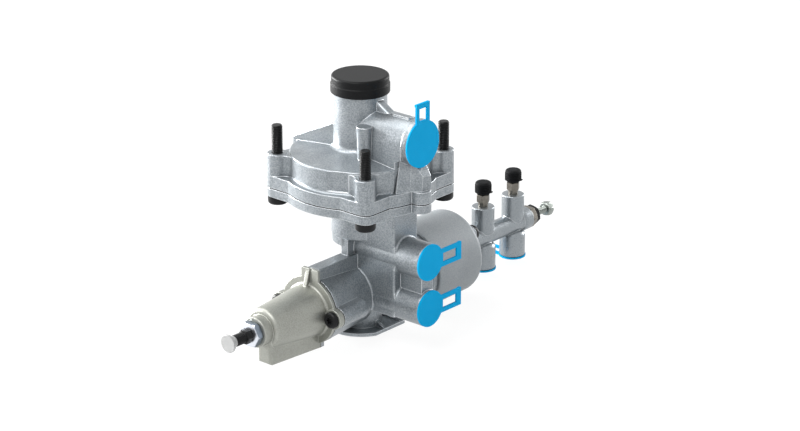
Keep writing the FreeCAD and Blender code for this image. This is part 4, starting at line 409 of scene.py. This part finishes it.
# Cover screws and manifold screws. M6 pan heads with a six-lobe recess, coated like the bolts.
LOBE_RADIUS = 2.3 * MM
LOBE_WAVE = 0.45 * MM
SCREW_HEAD = 3.6 * MM
SCREW_HEAD_RADIUS = 6.0 * MM
SCREW_SHANK_RADIUS = 3.0 * MM


def six_lobe(angle):
    """Radius by angle of the six-lobe recess."""
    return LOBE_RADIUS + LOBE_WAVE * math.cos(6 * angle)


def pan_screw_rings(length):
    """Rings of a pan head screw, from the tip of its shank to the bottom of its recess."""
    top = length + SCREW_HEAD
    head = SCREW_HEAD_RADIUS
    return [(0.0, SCREW_SHANK_RADIUS - 0.5 * MM), (0.5 * MM, SCREW_SHANK_RADIUS),
            (length, SCREW_SHANK_RADIUS), (length, head - 0.2 * MM), (length + 0.2 * MM, head),
            (length + 2.0 * MM, head), (length + 2.9 * MM, head - 0.5 * MM),
            (top - 0.25 * MM, head - 1.3 * MM), (top, head - 2.3 * MM),
            (top, lambda angle: six_lobe(angle) + 0.25 * MM), (top - 0.3 * MM, six_lobe),
            (top - 1.9 * MM, six_lobe)]


for side in ("left", "right"):
    node = f"cover_screw_{side}"
    low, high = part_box(node)
    centre = Vector(((low.x + high.x) / 2, high.y, (low.z + high.z) / 2))
    screw = ringed(f"{node}_six_lobe", black_steel, "housing",
                   pan_screw_rings(high.y - low.y - SCREW_HEAD), centre, (0, -1, 0))
    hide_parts(node)
for number in range(1, 5):
    node = f"manifold_screw_{number}"
    low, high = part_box(node)
    centre = Vector(((low.x + high.x) / 2, low.y, (low.z + high.z) / 2))
    screw = ringed(f"{node}_six_lobe", black_steel, "housing",
                   pan_screw_rings(high.y - low.y - SCREW_HEAD), centre, (0, 1, 0))
    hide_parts(node)
dress(black_steel, "exhaust_ring")

# Adjusting screw. Turned from black coated steel: plate on the balance spring, M8 fine thread
# through the cover's nose, a hexagon collar and the stub under the end cap.
ADJUSTER_PITCH = 1.25 * MM
ADJUSTER_RADIUS = 4.3 * MM
ADJUSTER_CORE = 4.0 * MM
ADJUSTER_PLATE_RADIUS = 9.0 * MM
ADJUSTER_PLATE_THICKNESS = 3.0 * MM
COLLAR_CORNER = 4.7 * MM
COLLAR_CHAMFER = 0.5 * MM
COLLAR_END_Y = -123.5 * MM
STUB_RADIUS = 3.5 * MM
STUB_Y = (-133.0 * MM, -137.0 * MM)
low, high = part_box("adjusting_screw")
nut_low, nut_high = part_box("adjuster_locknut")
axis_z = (low.z + high.z) / 2
plate_y = high.y
collar = hexagon(9.6 * MM)
collar_start = plate_y - nut_low.y + 0.1 * MM
collar_end = plate_y - COLLAR_END_Y
stub_start, stub_end = (plate_y - y for y in STUB_Y)
rings = [(0.0, ADJUSTER_PLATE_RADIUS), (ADJUSTER_PLATE_THICKNESS, ADJUSTER_PLATE_RADIUS),
         (ADJUSTER_PLATE_THICKNESS, ADJUSTER_CORE)]
rings += thread(ADJUSTER_RADIUS, ADJUSTER_PITCH, plate_y - nut_high.y + 0.5 * MM,
                plate_y - nut_low.y - 0.4 * MM, 0.1 * MM)
rings += [(collar_start, ADJUSTER_CORE), (collar_start, COLLAR_CORNER),
          (collar_start + COLLAR_CHAMFER, collar), (collar_end - COLLAR_CHAMFER, collar),
          (collar_end, COLLAR_CORNER), (collar_end, 4.2 * MM)]
rings += thread(ADJUSTER_RADIUS, ADJUSTER_PITCH, collar_end + 0.3 * MM, stub_start, 0.3 * MM)
rings += [(stub_start, STUB_RADIUS), (stub_end, STUB_RADIUS)]
adjusting_screw = ringed("adjusting_screw_threaded", black_steel, "adjusting_screw",
                         rings, (0, plate_y, axis_z), (0, -1, 0))
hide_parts("adjusting_screw")

# Locknut. Zinc-plated steel with a blue passivation: bluish and darker on its flats, with a painted
# reflection that makes its two end faces nearly white; its corners turned off on a lathe.
material, tree, shader = new_finish("blue_passivated_zinc_steel")
place = add_node(tree, "ShaderNodeTexCoord").outputs["Object"]
drawn = add_node(tree, "ShaderNodeTexNoise", {"Vector": place, "Scale": 1 / (3.0 * MM),
                                              "Detail": 3.0})
zinc = add_node(tree, "ShaderNodeMix", {0: drawn.outputs[0], 6: linear("#66717E"),
                                        7: linear("#939DAA")}, data_type="RGBA")
# Painted reflection: faces that point along the nut's axis, its two ends, go nearly white.
facing = add_node(tree, "ShaderNodeSeparateXYZ",
                  {0: add_node(tree, "ShaderNodeNewGeometry").outputs["True Normal"]})
sideways = add_node(tree, "ShaderNodeMath", {0: facing.outputs["Y"]}, operation="ABSOLUTE")
turned = add_node(tree, "ShaderNodeMapRange", {0: sideways.outputs[0], 1: 0.5, 2: 0.9})
end_reflection_lit = add_node(tree, "ShaderNodeMix", {0: turned.outputs[0], 6: zinc.outputs[2],
                                         7: linear("#E6EAF2")}, data_type="RGBA")
tree.links.new(end_reflection_lit.outputs[2], shader.inputs["Base Color"])
rounded_edges(tree, shader, 0.3 * MM)
shader.inputs["Metallic"].default_value = 1.0
shader.inputs["Roughness"].default_value = 0.28
blue_zinc = material
NUT_ACROSS_FLATS = 17.0 * MM
NUT_FACE_RADIUS = 7.9 * MM
height = nut_high.y - nut_low.y
flats = hexagon(NUT_ACROSS_FLATS)
bore = 4.36 * MM
chamfer = 1.3 * MM


def chamfered(cut):
    """Radius by angle of the nut's flats where its corners are turned down to a circle."""
    return lambda angle: min(flats(angle), NUT_ACROSS_FLATS / 2 + cut)


rings = [(0.6 * MM, bore), (0.0, bore + 0.6 * MM), (0.0, NUT_FACE_RADIUS),
         (0.4 * MM, chamfered(0.25 * MM)), (chamfer * 0.7, chamfered(0.8 * MM)), (chamfer, flats),
         (height - chamfer, flats), (height - chamfer * 0.7, chamfered(0.8 * MM)),
         (height - 0.4 * MM, chamfered(0.25 * MM)), (height, NUT_FACE_RADIUS),
         (height, bore + 0.6 * MM), (height - 0.6 * MM, bore)]
locknut = ringed("adjuster_locknut_chamfered", blue_zinc, "adjuster_locknut", rings,
                 (0, nut_high.y, axis_z), (0, -1, 0), 96)
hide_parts("adjuster_locknut")

# Adjuster end cap. Pressed-on cap of natural acetal, turned: dull white with a soft sheen.
material, tree, shader = new_finish("natural_acetal")
mottle(tree, shader, 3.0 * MM, 2.0, "#9C9C9B", "#ADADAC")
rounded_edges(tree, shader, 0.4 * MM)
shader.inputs["Roughness"].default_value = 0.4
dress(material, "adjuster_end_cap")

# Neck cap and end seal ring. Glass-filled nylon, moulded: nearly black, with a low sheen.
material, tree, shader = new_finish("moulded_black_nylon")
fibre = mottle(tree, shader, 0.9 * MM, 4.0, "#0C0C0D", "#191A1B")
bump = add_node(tree, "ShaderNodeBump", {"Strength": 0.25, "Distance": 0.1 * MM, "Height": fibre,
                                         "Normal": rounded_edges(tree, shader, 0.5 * MM)})
tree.links.new(bump.outputs[0], shader.inputs["Normal"])
shader.inputs["Roughness"].default_value = 0.42
shader.inputs["Specular IOR Level"].default_value = 0.12
dress(material, "neck_cap", "end_seal_ring")

# Port plugs. Soft polyethylene, injection moulded in cyan blue: even colour, waxy low gloss.
material, tree, shader = new_finish("moulded_blue_polyethylene")
mottle(tree, shader, 9.0 * MM, 2.0, "#009FD6", "#00A5DC")
rounded_edges(tree, shader, 0.35 * MM)
shader.inputs["Roughness"].default_value = 0.55
shader.inputs["Specular IOR Level"].default_value = 0.06
dress(material, "upper_port_plug", "side_port_plug_upper", "side_port_plug_lower",
      "bellows_port_plug_1", "bellows_port_plug_2")

# Test valves, end plug and end bolt. Free-cutting steel, zinc plated: warm grey under a yellowish
# passivation on the valves and the plug, cooler on the bolt. The steel parts inside take the first.
END_BOLT_PITCH = 1.0 * MM
END_BOLT_RADIUS = 2.6 * MM
END_BOLT_HEAD_Y = 213.5 * MM
END_BOLT_HEAD_HEIGHT = 6.0 * MM
END_BOLT_ACROSS_FLATS = 10.0 * MM
END_BOLT_CORNER = 5.2 * MM


def plated_finish(name, dark, light):
    """Turned and zinc-plated steel between two greys."""
    material, tree, shader = new_finish(name)
    mottle(tree, shader, 2.0 * MM, 4.0, dark, light)
    rounded_edges(tree, shader, 0.3 * MM)
    shader.inputs["Metallic"].default_value = 1.0
    shader.inputs["Roughness"].default_value = 0.34
    return material


zinc_steel = plated_finish("yellow_passivated_turned_steel", "#5B5852", "#86827B")
cool_steel = plated_finish("clear_passivated_turned_steel", "#757A76", "#9FA4A0")
dress(zinc_steel, "test_valve_1", "test_valve_2", "end_hex_plug", "load_rod", "spring_plate",
      "valve_tappet")

bolt_flats = hexagon(END_BOLT_ACROSS_FLATS, math.radians(8))


def turned_off(angle):
    """Radius by angle of the bolt's head where its corners are turned down to a circle."""
    return min(bolt_flats(angle), END_BOLT_CORNER)


low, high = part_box("end_adjusting_bolt")
head_start = END_BOLT_HEAD_Y - low.y
head_end = head_start + END_BOLT_HEAD_HEIGHT
rings = thread(END_BOLT_RADIUS, END_BOLT_PITCH, 0.0, head_start - 0.2 * MM, 0.0)
rings += [(head_start, END_BOLT_RADIUS), (head_start, 4.7 * MM),
          (head_start + 0.4 * MM, turned_off), (head_start + 0.9 * MM, bolt_flats),
          (head_end - 0.9 * MM, bolt_flats), (head_end - 0.4 * MM, turned_off),
          (head_end, 4.6 * MM)]
end_bolt = ringed("end_adjusting_bolt_threaded", cool_steel, "end_adjusting_bolt",
                  rings, (0, low.y, axis_z), (0, 1, 0))
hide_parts("end_adjusting_bolt")

# Test valve caps. Moulded rubber, pushed over the test valves: five grip rings round the side and a
# small tab at the foot to pull them off by.
CAP_HEIGHT = 9.8 * MM
CAP_RADIUS = 6.4 * MM
CAP_RINGS = 5
CAP_RING_PITCH = 1.25 * MM
CAP_RING_DEPTH = 0.65 * MM
CAP_BORE_RADIUS = 3.5 * MM
CAP_BORE_DEPTH = 6.7 * MM
CAP_LIFT = 0.4 * MM
CAP_TAB_ANGLE = math.radians(41)
CAP_TAB_REACH = 1.5 * MM
CAP_TAB_HALF_WIDTH = 0.32


def tabbed(radius):
    """Radius by angle of the cap's foot, with its tab."""
    def reach(angle):
        away = abs((angle - CAP_TAB_ANGLE + math.pi) % (2 * math.pi) - math.pi)
        return radius + CAP_TAB_REACH * max(0.0, 1 - (away / CAP_TAB_HALF_WIDTH) ** 2)
    return reach


for number in (1, 2):
    node = f"test_valve_cap_{number}"
    low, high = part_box(node)
    centre = Vector(((low.x + high.x) / 2, (low.y + high.y) / 2, low.z + CAP_LIFT))
    rings = [(CAP_BORE_DEPTH, CAP_BORE_RADIUS), (0.0, CAP_BORE_RADIUS), (0.0, 4.6 * MM),
             (0.5 * MM, 5.2 * MM), (0.6 * MM, tabbed(5.3 * MM)), (1.3 * MM, tabbed(6.0 * MM)),
             (1.4 * MM, CAP_RADIUS)]
    for ridge in range(CAP_RINGS):
        start = 1.5 * MM + ridge * CAP_RING_PITCH
        rings += [(start, CAP_RADIUS), (start + 0.5 * MM, CAP_RADIUS),
                  (start + 0.75 * MM, CAP_RADIUS - CAP_RING_DEPTH),
                  (start + 1.0 * MM, CAP_RADIUS - CAP_RING_DEPTH)]
    for step in range(7):
        turn = math.pi / 2 * step / 6
        rings.append((CAP_HEIGHT - 2.0 * MM * (1 - math.sin(turn)),
                      CAP_RADIUS - 0.2 * MM - 2.2 * MM * (1 - math.cos(turn))))
    cap = ringed(f"{node}_ringed", black_rubber, node, rings, centre, (0, 0, 1), 72)
    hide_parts(node)

# Springs. Drawn spring wire, oiled: dark steel grey. Round wire with its end coils closed, a little
# thinner than the solids' wire.
COIL_SIDES = 10
COIL_STEPS = 32
COIL_CLOSED_TURNS = 0.75
material, tree, shader = new_finish("oiled_spring_wire")
mottle(tree, shader, 2.0 * MM, 3.0, "#5C5F63", "#85888C")
shader.inputs["Metallic"].default_value = 1.0
shader.inputs["Roughness"].default_value = 0.3
spring_wire = material


def coil(node, wire, turns, way, anchored_high):
    """Coil in the node's box along axis number way.

    Each end lies flat for COIL_CLOSED_TURNS.
    """
    low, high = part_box(node)
    length = (high - low)[way]
    across = [axis for axis in range(3) if axis != way]
    middle = (low + high) / 2
    radius = (high - low)[across[0]] / 2 - wire
    points = []
    for step in range(turns * COIL_STEPS + 1):
        angle = 2 * math.pi * step / COIL_STEPS
        climbed = (step / COIL_STEPS - COIL_CLOSED_TURNS) / (turns - 2 * COIL_CLOSED_TURNS)
        along = low[way] + wire + (length - 2 * wire) * min(max(climbed, 0.0), 1.0)
        for corner in range(COIL_SIDES):
            tilt = 2 * math.pi * corner / COIL_SIDES
            reach = radius + wire * math.cos(tilt)
            point = Vector()
            point[across[0]] = middle[across[0]] + reach * math.cos(angle)
            point[across[1]] = middle[across[1]] + reach * math.sin(angle)
            point[way] = along + wire * math.sin(tilt)
            points.append(point)
    last = len(points) - COIL_SIDES
    faces = [tuple(range(COIL_SIDES)), tuple(reversed(range(last, len(points))))]
    for ring in range(0, last, COIL_SIDES):
        beyond = ring + COIL_SIDES
        for corner in range(COIL_SIDES):
            after = (corner + 1) % COIL_SIDES
            faces.append((ring + corner, beyond + corner, beyond + after, ring + after))
    mesh = bpy.data.meshes.new(f"{node}_coil")
    mesh.from_pydata(points, [], faces)
    mesh.shade_smooth()
    mesh.materials.append(spring_wire)
    piece = bpy.data.objects.new(f"{node}_coil", mesh)
    bpy.context.scene.collection.objects.link(piece)
    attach(piece, "housing")
    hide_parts(node)
    axis = Vector()
    axis[way] = 1.0
    anchor = middle.copy()
    anchor[way] = high[way] if anchored_high else low[way]
    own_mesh(piece)


coil("pilot_spring", 1.3 * MM, 6, 2, True)
coil("relay_valve_spring", 0.6 * MM, 4, 2, False)
coil("balance_spring", 1.4 * MM, 7, 1, False)

# Relay valve, rod guide and pilot screw. Turned brass: yellow, a little tarnished.
material, tree, shader = new_finish("turned_brass")
mottle(tree, shader, 4.0 * MM, 3.0, "#A98B4C", "#CDB06C")
shader.inputs["Metallic"].default_value = 1.0
shader.inputs["Roughness"].default_value = 0.32
dress(material, "relay_valve", "rod_guide", "pilot_screw")
